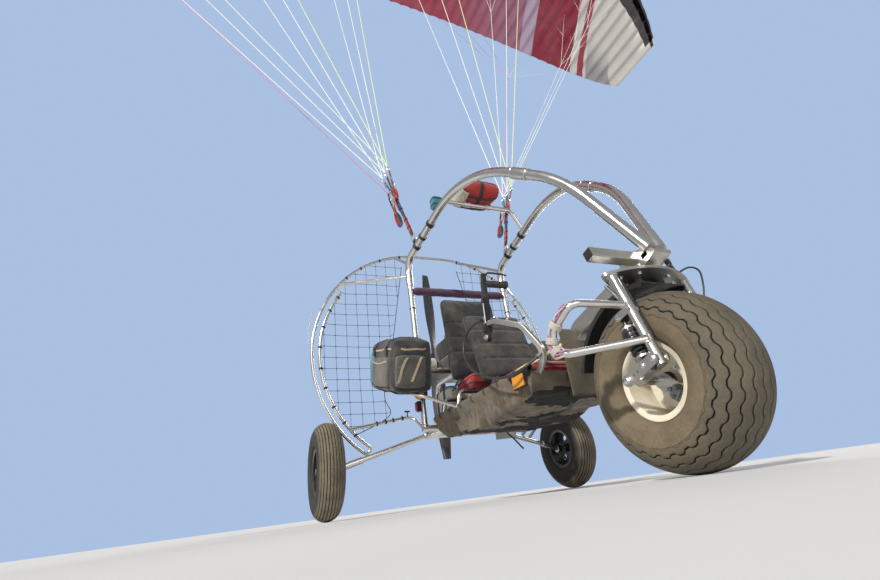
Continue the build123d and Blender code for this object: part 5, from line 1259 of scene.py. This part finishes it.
def bag_bottom(x):
    """Height of the bag's bottom at a station."""
    for (x_a, z_a), (x_b, z_b) in zip(BAG_LOW, BAG_LOW[1:]):
        if x_b <= x <= x_a:
            return z_a + (z_b - z_a) * (x - x_a) / (x_b - x_a)
    return 318


bag_rows = []
bag_steps, bag_across = 84, 57
for step in range(bag_steps + 1):
    share = step / bag_steps
    x = BAG_FRONT - 3 + (BAG_REAR - BAG_FRONT + 6) * share
    end = min(share, 1 - share) * bag_steps
    closed = math.exp(-end / 1.5)
    low = bag_bottom(x) + 2
    low += (392 - low) * closed
    narrow = 1 - 0.42 * max(0.0, 1 - share / 0.45) ** 1.5
    lash = abs(math.sin(math.pi * share * 7))
    half = [(229, 401), (231, 414), (241, 419), (252, 412), (252, 398), (244, 372 - 4 * lash),
            (240 - 2 * lash, 335), (225, 300), (196, 268)]
    line = [(y * (narrow if z < 290 else 1), max(z, low)) for y, z in half]
    line += [(120 * narrow, low), (60 * narrow, low - 2 * (1 - closed)), (0, low - 3 * (1 - closed))]
    curve = spline_points([(0, y, z) for y, z in line], 4)
    wide = curve + [Vector((0, -p.y, p.z)) for p in curve[::-1][1:]]
    row = []
    for index in range(bag_across):
        spot = index / (bag_across - 1) * (len(wide) - 1)
        first = min(int(spot), len(wide) - 2)
        p = wide[first].lerp(wide[first + 1], spot - first)
        place = at(x, p.y, p.z)
        free = max(0.0, min(1.0, (402 - p.z) / 60)) * (1 - closed)
        crease = noise.noise(Vector((place.x * 5.2, place.y * 2.2, place.z * 9))) \
            + 0.5 * noise.noise(Vector((place.x * 13, place.y * 5, place.z * 19)))
        fold = abs(noise.noise(Vector((place.x * 7 + place.z * 5, place.y * 3, 3.7))))
        pleat = abs((share * 7 + 0.9 * (p.z - 0.3) * (1 if int(share * 7) % 2 else -1) * 4) % 1 - 0.5) * 2
        fold += 0.55 * (1 - pleat) ** 3
        inward = Vector((0, -math.copysign(1, p.y) if abs(p.y) > 150 else 0, 0.8 if abs(p.y) < 200 else 0.25))
        place += inward * (0.022 * max(crease, -0.25) + 0.03 * fold) * free
        rail_z = 0.33 - 0.034 * (x + 560) / 1000 if x < -560 else 0.33 + 0.107 * (x + 560) / 1000
        if abs(p.y) > 150 and rail_z - 0.021 < place.z < 0.388:
            place.y = math.copysign(max(abs(place.y), 0.2115), p.y)
        elif place.z < rail_z and closed < 0.01:
            place.z = min(place.z, rail_z - 0.022)
        row.append(place)
    bag_rows.append(row)
bag_points = [point for row in bag_rows for point in row]
bag_mesh = mesh_from("belly_bag_cloth", bag_points, grid_faces(bag_steps + 1, bag_across))
belly = link("belly_bag_cloth", bag_mesh, bag_cloth, ROOT)
bag_mesh.materials.append(bag_dark_and_shade)
# Black along the bottom, and painted shade of the open front round the front corners, with a ragged border
for patch in bag_mesh.polygons:
    place = patch.center - at(0, 0, 0)
    ragged = 0.022 * noise.noise(patch.center * 11) + 0.012 * math.sin(patch.center.x * 23)
    low_edge = bag_bottom(place.x * 1000) / 1000 + 0.014 + 0.7 * ragged
    if place.z < low_edge or (place.x > -0.49 and abs(place.y) > 0.2 and place.z > 0.385 + ragged):
        patch.material_index = 1
add_modifier(belly, "SUBSURF", levels=1, render_levels=1)
add_modifier(belly, "SOLIDIFY", thickness=0.0018, offset=-1.0)
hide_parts("belly_bag")

# Lashings round the side tubes
lashings = Bundle()
for sign in (-1, 1):
    for index in range(7):
        x = BAG_FRONT - 105 - index * 118
        lashings.hoop(circle(at(x, sign * 240, 405), 0.0155, 16, Y_AXIS), X_AXIS, 0.012, 0.0018)
lashings.piece("bag_lashings", black_strap, "webbing")

# Mud flap behind the front wheel
flap_rows = []
for k in range(26):
    z = 296 + 248 * k / 25
    bow = 7 * math.sin(math.pi * k / 25) - 5 * (1 - k / 25) ** 2
    flap_rows += [at(-329 + bow * (1 - (y / 99) ** 2 * 0.5) + 1.6 * math.sin(y / 21 + k / 4), y, z)
                  for y in (-99 + 198 * m / 22 for m in range(23))]
flap_mesh = mesh_from("mud_flap_sheet", flap_rows, grid_faces(26, 23))
flap_piece = link("mud_flap_sheet", flap_mesh, bag_cloth, ROOT)
add_modifier(flap_piece, "SOLIDIFY", thickness=0.003, offset=0.0)
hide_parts("mud_flap")

# Hose from the throttle lever to the corner of the control arm
HOSE = [
    (-562, 276, 668), (-630, 284, 676), (-690, 297, 640), (-703, 308, 575), (-661, 317, 505),
    (-585, 320, 450), (-500, 314, 408), (-415, 300, 388), (-345, 272, 398), (-308, 232, 428),
]
hose_curve = bpy.data.curves.new("lever_hose", "CURVE")
hose_curve.dimensions = "3D"
hose_curve.bevel_depth = 0.005
hose_curve.bevel_resolution = 5
hose_curve.resolution_u = 10
hose_curve.use_fill_caps = True
hose_spline = hose_curve.splines.new("NURBS")
hose_spline.points.add(len(HOSE) - 1)
for spot, (x, y, z) in zip(hose_spline.points, HOSE):
    spot.co = (*at(x, -y, z), 1)
hose_spline.order_u = 3
hose_spline.use_endpoint_u = True
hose_curve.materials.append(hose_rubber)
hose = bpy.data.objects.new("lever_hose", hose_curve)
bpy.context.scene.collection.objects.link(hose)
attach(hose, ROOT)
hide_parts("control_hose")


# Small parts: welds, bolts, clamps, lamps and the engine's fittings
def bead(bundle, centre, axis, radius, size=0.0024):
    """A weld bead round a tube."""
    axis = Vector(axis).normalized()
    across = axis.orthogonal().normalized()
    other = axis.cross(across)
    ring, sizes = [], []
    for k in range(28):
        turn = TAU * k / 28
        out = radius + 0.0006 * math.sin(5 * turn)
        ring.append(Vector(centre) + (across * math.cos(turn) + other * math.sin(turn)) * out)
        sizes.append(size * (1 + 0.15 * math.sin(9 * turn)))
    bundle.tube(ring, sizes, 6, closed=True)


def disc(bundle, centre, axis, radius, thickness, sides=28, soften=0.12):
    """A short round piece with broken edges, which stands on its centre along its axis."""
    axis = Vector(axis).normalized()
    edge = min(radius, thickness) * soften
    bundle.tube([Vector(centre) + axis * lift for lift in (0, edge, thickness - edge, thickness)],
                [radius - edge, radius, radius, radius - edge], sides)


def winding(bundle, start, run, radius, pitch, steps, count, thickness):
    """A cord wound round a straight tube, with its steps a turn and their count."""
    across = run.cross(Y_AXIS).normalized()
    other = run.cross(across)
    bundle.tube([start + run * (pitch * k / steps)
                 + (across * math.cos(TAU * k / steps) + other * math.sin(TAU * k / steps)) * radius
                 for k in range(count)], thickness, 6)


welds, bolts, blacks = Bundle(), Bundle(), Bundle()
for sign in (-1, 1):
    for place, axis, radius in (
        ((-1471, 222, 357), (0.05, -0.97, 0.2), 0.0135), ((-1480, 200, 361), (0, 0, 1), 0.0135),
        ((-1236, 306, 376), (0, 0, 1), 0.0158), ((-960, 252, 409), (0, 1, 0.3), 0.0088),
        ((-1236, 322, 552), (0, 1, 0), 0.0088), ((-1236, 290, 650), (0, 1, 0), 0.0148),
        ((-1236, 100, 650), (0, 1, 0), 0.0148), ((-1236, 306, 1150), (0, 0, 1), 0.0165),
    ):
        bead(welds, at(place[0], sign * place[1], place[2]), (axis[0], sign * axis[1], axis[2]), radius)
    for share in (0.4, 0.6):
        start, end = at(-73.6, sign * 125.9, 1033.2), at(-389.1, sign * 222.4, 1312.3)
        place, run = start + (end - start) * share, (end - start).normalized()
        bead(welds, place, run, 0.0228, 0.0016)
        across = run.cross(Y_AXIS).normalized()
        shift = run * (0.014 if share < 0.5 else -0.014)
        bolts.bolt(place + shift + across * 0.0232, across, 0.0045, 0.005)
    for x, z in ((-60, 30), (-30, 38)):
        bolts.bolt(on_fork(x, sign * 35, z), (0, sign, 0), 0.0055, 0.006)
    for x in (-1260, -1212):
        bolts.bolt(at(x, sign * 60, 384), (0, 0, 1), 0.005, 0.005)
    disc(blacks, at(-1109, sign * 303, 1375), (0, sign, 0), 0.0115, 0.006)
    bolts.bolt(at(-1109, sign * 309, 1375), (0, sign, 0), 0.0065, 0.006)
    for y in (-14, 14):
        bolts.bolt(at(-849, sign * 66 + y, 1490), X_AXIS, 0.004, 0.004)
    for height in (560, 830, 1010):
        blacks.hoop(circle(at(-1236, sign * 306, height), 0.0164, 20, X_AXIS, Y_AXIS), Z_AXIS, 0.005, 0.0016)
    for station_x in (-520, -700, -1020):
        centre = at(station_x, sign * 190, 330 + (station_x + 560) * -0.034)
        blacks.hoop(circle(centre, 0.0174, 20, Y_AXIS), X_AXIS, 0.006, 0.0016)
    # Ties of the net on the lower brace, and a wing bolt near its inner end
    start, end = at(-1620, sign * 600, 439.5), at(-1620, sign * 229, 493)
    along = (end - start).normalized()
    for share in (0.42, 0.56, 0.68, 0.83):
        spot = start + (end - start) * share
        blacks.tube([spot - along * 0.005, spot + along * 0.005], 0.0108, 14)
        blacks.block(spot + Z_AXIS * 0.013, BOX_AXES, (0.006, 0.007, 0.007), 0.25)
    spot = start + (end - start) * 0.92
    blacks.tube([spot, spot + Z_AXIS * 0.03], [0.004, 0.003], 10)
    blacks.block(spot + Z_AXIS * 0.034, BOX_AXES, (0.01, 0.034, 0.009), 0.3)
for x in (8, 26):
    for y in (-18, 18):
        bolts.bolt(on_fork(x, y, 66.5), STEER_UP, 0.004, 0.005)
blacks.block(on_fork(19, -214.5, 40), (STEER_FORWARD, Y_AXIS, STEER_UP), (0.031, 0.006, 0.031), 0.2)
for x, z in ((-22, 8), (24, 8), (24, 48)):
    bolts.bolt(on_fork(x, -35, z), (0, -1, 0), 0.0055, 0.006)
welds.piece("weld_beads", steel, "frame")
bolts.piece("frame_bolts", bright_steel, "steel")
blacks.piece("frame_ties", black_plastic, "dark_plastic")

# Fork: pins, nuts, welds, plate bolts and lashed cords
fork_bolts, fork_welds = Bundle(), Bundle()
for sign in (-1, 1):
    for x, z, size in ((6, -318, 0.0075), (-35, -317, 0.006), (-101.8, -325.2, 0.0095)):
        outer = 178 if x < -90 else 174
        fork_bolts.bolt(on_fork(x, sign * outer, z), (0, sign, 0), size, 0.0065)
        if x > -90:
            fork_bolts.bolt(on_fork(x, sign * 126, z), (0, -sign, 0), size, 0.006)
    fork_bolts.bolt(on_fork(-35, sign * 168, -158), (0, sign, 0), 0.006, 0.006)
    fork_bolts.bolt(on_fork(6, sign * 150, -21.6), STEER_UP, 0.008, 0.005)
    for x, z in ((98, 350), (61.5, 465)):
        bead(fork_welds, at(x, sign * 165, z), Y_AXIS, 0.0118, 0.0018)
    bead(fork_welds, on_fork(6, sign * 150, -33), STEER_UP, 0.016, 0.0024)
for x, y in ((30, 60), (30, -60), (-30, 60), (-30, -60), (0, 110), (0, -110)):
    fork_bolts.bolt(on_fork(x, y, -21.8), STEER_UP, 0.0055, 0.005)
    fork_bolts.bolt(on_fork(x, y, -32.2), -STEER_UP, 0.0055, 0.005)
fork_bolts.bolt(on_fork(0, 0, 56.2), STEER_UP, 0.013, 0.012, 1.35)
fork_bolts.bolt(on_fork(-4, 165, -3), STEER_UP, 0.005, 0.005)
fork_bolts.piece("fork_bolts", bright_steel, "steel", "fork")
fork_welds.piece("fork_welds", plate_metal, "fork", "fork")
caliper = Bundle()
down = (X_AXIS - Z_AXIS).normalized()
side_way = Vector((down.z, 0, -down.x))
mid = front_hub + down * 0.069
caliper.block(mid - Y_AXIS * 0.058, (down, side_way, Y_AXIS), (0.034, 0.04, 0.02), 0.2)
for shift in (-0.012, 0.012):
    caliper.bolt(mid + side_way * shift - Y_AXIS * 0.068, -Y_AXIS, 0.005, 0.006)
disc(caliper, mid - down * 0.019 - Y_AXIS * 0.056, -Y_AXIS, 0.0065, 0.016)
caliper.piece("caliper_body", cast_metal, "engine", "fork")

# Cords lashed along the right footrest, in two colours
cord_bundle, white_bundle = Bundle(), Bundle()
FOOTREST_RUN = [
    (14, -325, 479), (-20, -331, 462), (-62, -337, 428), (-81, -337, 390), (-66, -334, 360), (-30, -327, 349),
]
for strand in range(7):
    bundle = cord_bundle if strand % 3 else white_bundle
    turned = math.radians(120 + 42 * strand)
    run = []
    for index, place in enumerate(spline_points([at(*point) for point in FOOTREST_RUN], 7)):
        twist = turned + 0.06 * index
        out = 0.0135 + 0.002 * math.sin(index * 0.7 + strand)
        run.append(place + Vector((0.6 * math.cos(twist), math.sin(twist), 0.8 * math.cos(twist))) * out)
    bundle.tube(run[2 * (strand % 3):len(run) - 3 * (strand % 2)], 0.0026, 6)
for index, share in ((1, 0.5), (2, 0.5), (3, 0.6)):
    low, high = at(*FOOTREST_RUN[index]), at(*FOOTREST_RUN[index + 1])
    winding(white_bundle, low + (high - low) * share, (high - low).normalized(), 0.0175, 0.0048, 14, 57,
            0.0024)
cord_bundle.piece("footrest_lashing", pink_cord, "line", "fork")
white_bundle.piece("footrest_wrap", cream_cloth, "webbing", "fork")

# Engine: plug, head bolts, flange, cooling grille, filter, straps and the propeller's bolts
fittings, dark_fittings, pale_fittings = Bundle(), Bundle(), Bundle()
for spot, foot in zip(circle(at(-1422, 0, 928), 0.034, 4, X_AXIS, Y_AXIS, start=45),
                      ((-1365, 85), (-1515, 85), (-1515, -85), (-1365, -85))):
    fittings.bolt(spot, Z_AXIS, 0.0055, 0.008)
    fittings.bolt(at(*foot, 670), Z_AXIS, 0.006, 0.007)
fittings.bolt(at(-1422, 0, 928), Z_AXIS, 0.0095, 0.009)
pale_fittings.tube([at(-1422, 0, 936), at(-1422, 0, 952)], [0.0062, 0.0048], 16)
dark_fittings.tube([at(-1422, 0, 948), at(-1422, 0, 972), at(-1427, 0, 982), at(-1446, 0, 986)],
                   [0.0085, 0.0088, 0.0085, 0.005], 14)
fittings.block(at(-1422, 67, 856), BOX_AXES, (0.062, 0.008, 0.04), 0.2)
for x in (-24, 24):
    fittings.bolt(at(-1422 + x, 71, 856), (0, 1, 0), 0.0055, 0.008)
for x, width in ((-1500, 0.012), (-1440, 0.005), (-1310, 0.012)):
    fittings.hoop(circle(at(x, 200, 700), 0.0528, 40, Y_AXIS), X_AXIS, width, 0.0016)
for x in (-1530, -1280):
    bead(fittings, at(x, 200, 700), X_AXIS, 0.052, 0.0022)
for spoke in circle(Vector(), 1.0, 14, Y_AXIS):
    dark_fittings.block(at(-1323, 0, 735) + spoke * 0.039, (spoke, X_AXIS, spoke.cross(X_AXIS)),
                        (0.03, 0.004, 0.006), 0.2)
disc(dark_fittings, at(-1324, 0, 735), X_AXIS, 0.02, 0.009)
for spot in circle(at(-1323.5, 0, 735), 0.056, 6, Y_AXIS, start=30):
    fittings.bolt(spot, X_AXIS, 0.004, 0.004)
for k in range(10):
    pale_fittings.tube(circle(at(-1460, -121 - 6.4 * k, 753), 0.0386, 36), 0.0021, 6, closed=True)
disc(dark_fittings, at(-1460, -181, 753), (0, -1, 0), 0.0402, 0.007)
disc(dark_fittings, at(-1460, -113, 753), (0, -1, 0), 0.0395, 0.006)
fittings.block(at(-1460, -92, 724), BOX_AXES, (0.034, 0.032, 0.03), 0.2)
for y, z in ((34, -30), (-34, -30), (44, 0), (-44, 0), (52, 133), (-52, 133), (46, 70), (-46, 70), (0, 186),
             (0, -38)):
    fittings.bolt(at(-1572, y * 0.92, 735 + z * 0.96), -X_AXIS, 0.0045, 0.006)
fittings.piece("engine_fittings", bright_steel, "steel")
dark_fittings.piece("engine_covers", black_plastic, "dark_plastic")
pale_fittings.piece("engine_pale_parts", cream_cloth, "tank")
prop_bolts = Bundle()
disc(prop_bolts, at(-1737, 0, 868), (-1, 0, 0), 0.04, 0.006, 36)
for spot in circle(at(-1743, 0, 868), 0.029, 6, Y_AXIS):
    prop_bolts.bolt(spot, -X_AXIS, 0.0055, 0.008)
prop_bolts.piece("propeller_bolts", bright_steel, "steel", "airscrew")
tank_trim = Bundle()
OVER_TANK = ((-151.5, 384), (-151.5, 555), (-146, 568), (-134, 572.5), (134, 572.5), (146, 568), (151.5, 555),
             (151.5, 384))
for x in (-1400, -1304):
    tank_trim.strap([at(x, y, z) for y, z in OVER_TANK], X_AXIS, 0.022, 0.0022)
for out in circle(Vector(), 1.0, 18, X_AXIS, Y_AXIS):
    tank_trim.block(at(-1352, -90, 583) + out * 0.0322, (out, out.cross(Z_AXIS), Z_AXIS),
                    (0.004, 0.006, 0.018), 0.2)
tank_trim.piece("tank_trim", black_strap, "webbing")

# Controls: ribbed grip, lever pivot, cable ends
grip = Bundle()
grip_at = at(-502.3, 0, 805)
grip_rows = []
for k in range(61):
    ridge = 0.0011 * math.sin(TAU * k / 5)
    grip_rows.append(circle(grip_at + Y_AXIS * (-0.262 + 0.092 * k / 60), 0.0142 + ridge, 22))
grip.grid(grip_rows, caps=True)
disc(grip, grip_at - Y_AXIS * 0.17, Y_AXIS, 0.0175, 0.006)
grip.piece("lever_grip", hose_rubber, "dark_plastic")
control_bolts = Bundle()
for place, along, size, height in (
    ((-543, -278, 586), (0, -1, 0), 0.0085, 0.009), ((-528, -278, 664), (0, -1, 0), 0.006, 0.007),
    ((-516, -278, 730), (0, -1, 0), 0.005, 0.006), ((-470, -270, 639), (0, 0, 1), 0.0055, 0.006),
    ((-408, -255, 607), (0.5, 0, 0.86), 0.0055, 0.006),
):
    control_bolts.bolt(at(*place), along, size, height)
for start, end in (((-520, -284, 640), (-512, -284, 720)), ((-534, -283, 606), (-522, -283, 660))):
    control_bolts.tube([at(*start), at(*end)], 0.0022, 8)
control_bolts.piece("lever_bolts", bright_steel, "steel")
lever_parts = Bundle()
LEVER_AXES = (Vector((0.18, 0, 0.98)), Y_AXIS, Vector((0.98, 0, -0.18)))
lever_parts.block(at(-520, -270, 712), LEVER_AXES, (0.07, 0.03, 0.026), 0.2)
lever_parts.block(at(-536, -270, 622), LEVER_AXES, (0.045, 0.034, 0.03), 0.2)
lever_parts.tube([at(-496, -262, 842), at(-488, -250, 850), at(-470, -205, 838), at(-462, -180, 828)],
                 [0.004, 0.0045, 0.004, 0.003], 10)
lever_parts.piece("lever_parts", black_plastic, "dark_plastic")

# Lamps, tag, straps, rods and bracket under the frame
lamp_red, lamp_amber, lamp_body = Bundle(), Bundle(), Bundle()
for sign in (-1, 1):
    lamp_body.block(at(-1238, sign * 330, 470), BOX_AXES, (0.03, 0.018, 0.052), 0.2)
    lamp_red.block(at(-1238, sign * 341, 470), BOX_AXES, (0.024, 0.008, 0.044), 0.25)
disc(lamp_amber, at(-1180, -330, 520), (0.3, -0.9, 0), 0.028, 0.03, 28, 0.3)
disc(lamp_body, at(-1186, -312, 520), (0.3, -0.9, 0), 0.03, 0.02)
lamp_body.tube([at(-1186, -306, 520), at(-1232, -306, 520)], 0.005, 10)
amber_plate = at(-418, -247, 374)
lamp_body.block(amber_plate, (Y_AXIS, X_AXIS, Z_AXIS), (0.012, 0.082, 0.05), 0.15)
lamp_amber.block(amber_plate - Y_AXIS * 0.007, (Y_AXIS, X_AXIS, Z_AXIS), (0.006, 0.072, 0.042), 0.2)
lamp_red.piece("rear_markers", red_lens, "rescue")
lamp_amber.piece("amber_markers", amber, "tank")
lamp_body.piece("marker_bodies", black_plastic, "dark_plastic")
lime_strap = Bundle()
lime_strap.strap([at(-455, -251, 405), at(-430, -236, 418), at(-352, -34, 512), at(-346, -22, 520)],
                 (0.4, 0.1, -0.9), 0.012, 0.0018)
lime_strap.piece("lime_strap", lime_cord, "webbing")
rods = Bundle()
rods.tube(spline_points([at(-398, -60, 330), at(-396, -62, 300), at(-400, -66, 272), at(-430, -84, 262),
                         at(-470, -98, 262)], 6), 0.0042, 10)
rods.tube([at(-470, -98, 262), at(-530, -118, 262)], 0.0075, 12)
rods.tube([at(-1440, 262, 352), at(-1415, 300, 300), at(-1380, 330, 236)], 0.005, 10)
rods.piece("hanging_rods", black_enamel, "dark_metal")
brackets = Bundle()
bracket_axes = (Vector((0.3, 0.95, 0)), Vector((-0.95, 0.3, 0)), Z_AXIS)
brackets.block(at(-1440, 250, 330), bracket_axes, (0.09, 0.005, 0.05), 0.1)
brackets.block(at(-1425, 300, 322), bracket_axes, (0.05, 0.005, 0.03), 0.1)
for sign in (-1, 1):
    brackets.block(at(-1500, sign * 395, 312), (Y_AXIS, X_AXIS, Z_AXIS), (0.06, 0.028, 0.004), 0.1)
    for y in (375, 415):
        brackets.bolt(at(-1500, sign * y, 315), Z_AXIS, 0.005, 0.005)
brackets.tube([on_cage(-1, CAGE_OUTER, 176), on_cage(-1, 0.73, 174), on_cage(-1, 0.742, 168),
               on_cage(-1, 0.75, 160)], [0.0022, 0.0022, 0.003, 0.0036], 8)
brackets.piece("small_brackets", plate_metal, "frame")

# Riser fittings: spare rings, keepers, grips and loose ends
grips, keepers, clips = Bundle(), Bundle(), Bundle()
for sign in (-1, 1):
    eye, forward, lift, outward, length = riser_axes(sign)

    def spot(ahead_mm, up_mm, out_mm):
        """A place by this side's risers, from the eye they hang on."""
        return eye + forward * (ahead_mm / 1000) + lift * (up_mm / 1000) + outward * (out_mm / 1000)

    grips.tube(circle(spot(34, 322, 9), 1.0, 24, forward * 0.015, lift * 0.034), 0.0062, 8, closed=True)
    grips.strap([spot(-64, 244, 8), spot(-70, 205, 12), spot(-68, 166, 10)], outward, 0.026, 0.006, 0.3)
    keepers.strap([spot(-58, 392, 3), spot(-63, 330, 10), spot(-66, 250, 8)], outward, 0.012, 0.0022, 0.2)
    for up in (96, 148, 226, 292):
        keepers.block(spot(0, up, 0), (forward, outward, lift), (0.029, 0.015, 0.008), 0.25)
    for ahead, up in ((-22, 372), (24, 386), (44, 420), (-46, 440)):
        clips.block(spot(ahead, up, 4), (forward, outward, lift), (0.017, 0.012, 0.024), 0.25)
    for ahead, up, size in ((-58, 352, 0.012), (14, 344, 0.0095), (52, 376, 0.0085)):
        clips.tube(circle(spot(ahead, up, 9), size, 18, forward, lift), 0.0034, 8, closed=True)
        keepers.tube([spot(ahead, up, 5), spot(ahead, up, 13)], size * 0.8, 14)
    for ahead, out in ((-30, 18), (12, 14)):
        tail = [spot(ahead, 330, 6), spot(ahead - 10, 290, out), spot(ahead - 4, 250, out + 6),
                spot(ahead - 14, 222, out)]
        grips.strap(spline_points(tail, 5), forward, 0.012, 0.0018, 0.2)
grips.piece("riser_grips", red_strap, "webbing")
keepers.piece("riser_keepers", black_plastic, "dark_plastic")
clips.piece("riser_clips", bright_steel, "steel")

# Thin braces beside the top of each leg, ties on the arches and the brake's pipes
leg_braces = Bundle()
for sign in (-1, 1):
    for ahead, x_low in ((-22, -8), (-44, -12)):
        leg_braces.tube([on_fork(6 + ahead, sign * 143, -33), on_fork(6 + x_low, sign * 143, -136)],
                        0.0055, 12)
    bead(leg_braces, on_fork(-4, sign * 146, -128), (0.2, 0, -1), 0.009, 0.0016)
leg_braces.piece("leg_braces", steel, "fork", "fork")
arch_ties = Bundle()
for sign in (-1, 1):
    low, high = at(-830, sign * 279.5, 1370.2), at(-1140, sign * 299.7, 1323.5)
    for share, turns in ((0.2, 4), (0.55, 3), (0.8, 4)):
        winding(arch_ties, low + (high - low) * share, (high - low).normalized(), 0.0215, 0.006, 12,
                turns * 12 + 1, 0.0026)
arch_ties.piece("arch_ties", black_strap, "webbing")
pipe = Bundle()
for places in (
    ((26, 120, -12), (52, 150, -6), (58, 178, -24), (40, 180, -70), (24, 170, -110), (20, 166, -150)),
    ((2, -132, -306), (-10, -128, -290), (4, -124, -250), (12, -128, -200), (12, -130, -90), (10, -130, -36)),
):
    pipe.tube(spline_points([on_fork(*place) for place in places], 8), 0.003, 8)
pipe.piece("brake_pipes", black_plastic, "dark_plastic", "fork")


# Floor, backdrop and plain studio light
def backdrop_material(name, color):
    """A matt floor of one colour."""
    made = bpy.data.materials.new(name)
    made.use_nodes = True
    made.node_tree.nodes["Principled BSDF"].inputs["Base Color"].default_value = (*color, 1)
    made.node_tree.nodes["Principled BSDF"].inputs["Roughness"].default_value = 0.9
    return made


floor_mesh = mesh_from("floor", [(-40, -40, 0), (40, -40, 0), (40, 40, 0), (-40, 40, 0)], [(0, 1, 2, 3)])
floor = bpy.data.objects.new("floor", floor_mesh)
floor_mesh.materials.append(backdrop_material("floor", (0.72, 0.73, 0.74)))
bpy.context.scene.collection.objects.link(floor)
floor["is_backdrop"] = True

world = bpy.data.worlds.new("studio")
bpy.context.scene.world = world
world.use_nodes = True
sky = world.node_tree
sky_out = sky.nodes["World Output"]
base = sky.nodes["Background"]
base.inputs["Color"].default_value = (0.9, 0.94, 1.0, 1)
base.inputs["Strength"].default_value = 0.36
seen = sky.nodes.new("ShaderNodeBackground")
seen.inputs["Color"].default_value = (0.40, 0.53, 0.76, 1)
seen.inputs["Strength"].default_value = 1.0
path = sky.nodes.new("ShaderNodeLightPath")
chosen = sky.nodes.new("ShaderNodeMixShader")
sky.links.new(path.outputs["Is Camera Ray"], chosen.inputs[0])
sky.links.new(base.outputs[0], chosen.inputs[1])
sky.links.new(seen.outputs[0], chosen.inputs[2])
sky.links.new(chosen.outputs[0], sky_out.inputs[0])

LAMPS = [
    # name, direction towards the lamp, strength, angular size in degrees, colour
    ("key", (0.36, -0.8, 0.58), 3.1, 2.5, (1.0, 0.95, 0.87)),
    ("fill", (0.8, -0.3, 0.2), 0.7, 40, (0.95, 0.97, 1.0)),
    ("rim", (-0.6, 0.7, 0.5), 0.9, 20, (1.0, 0.98, 0.95)),
    ("under", (0.1, -0.78, -0.5), 0.75, 25, (0.95, 0.92, 0.88)),
]
for name, direction, strength, size, color in LAMPS:
    lamp_data = bpy.data.lights.new(name, "SUN")
    lamp_data.energy = strength
    lamp_data.angle = math.radians(size)
    lamp_data.color = color
    lamp = bpy.data.objects.new(name, lamp_data)
    lamp.rotation_mode = "QUATERNION"
    lamp.rotation_quaternion = Vector(direction).to_track_quat("Z", "Y")
    bpy.context.scene.collection.objects.link(lamp)

bpy.context.scene.view_settings.view_transform = "Standard"
low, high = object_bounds()
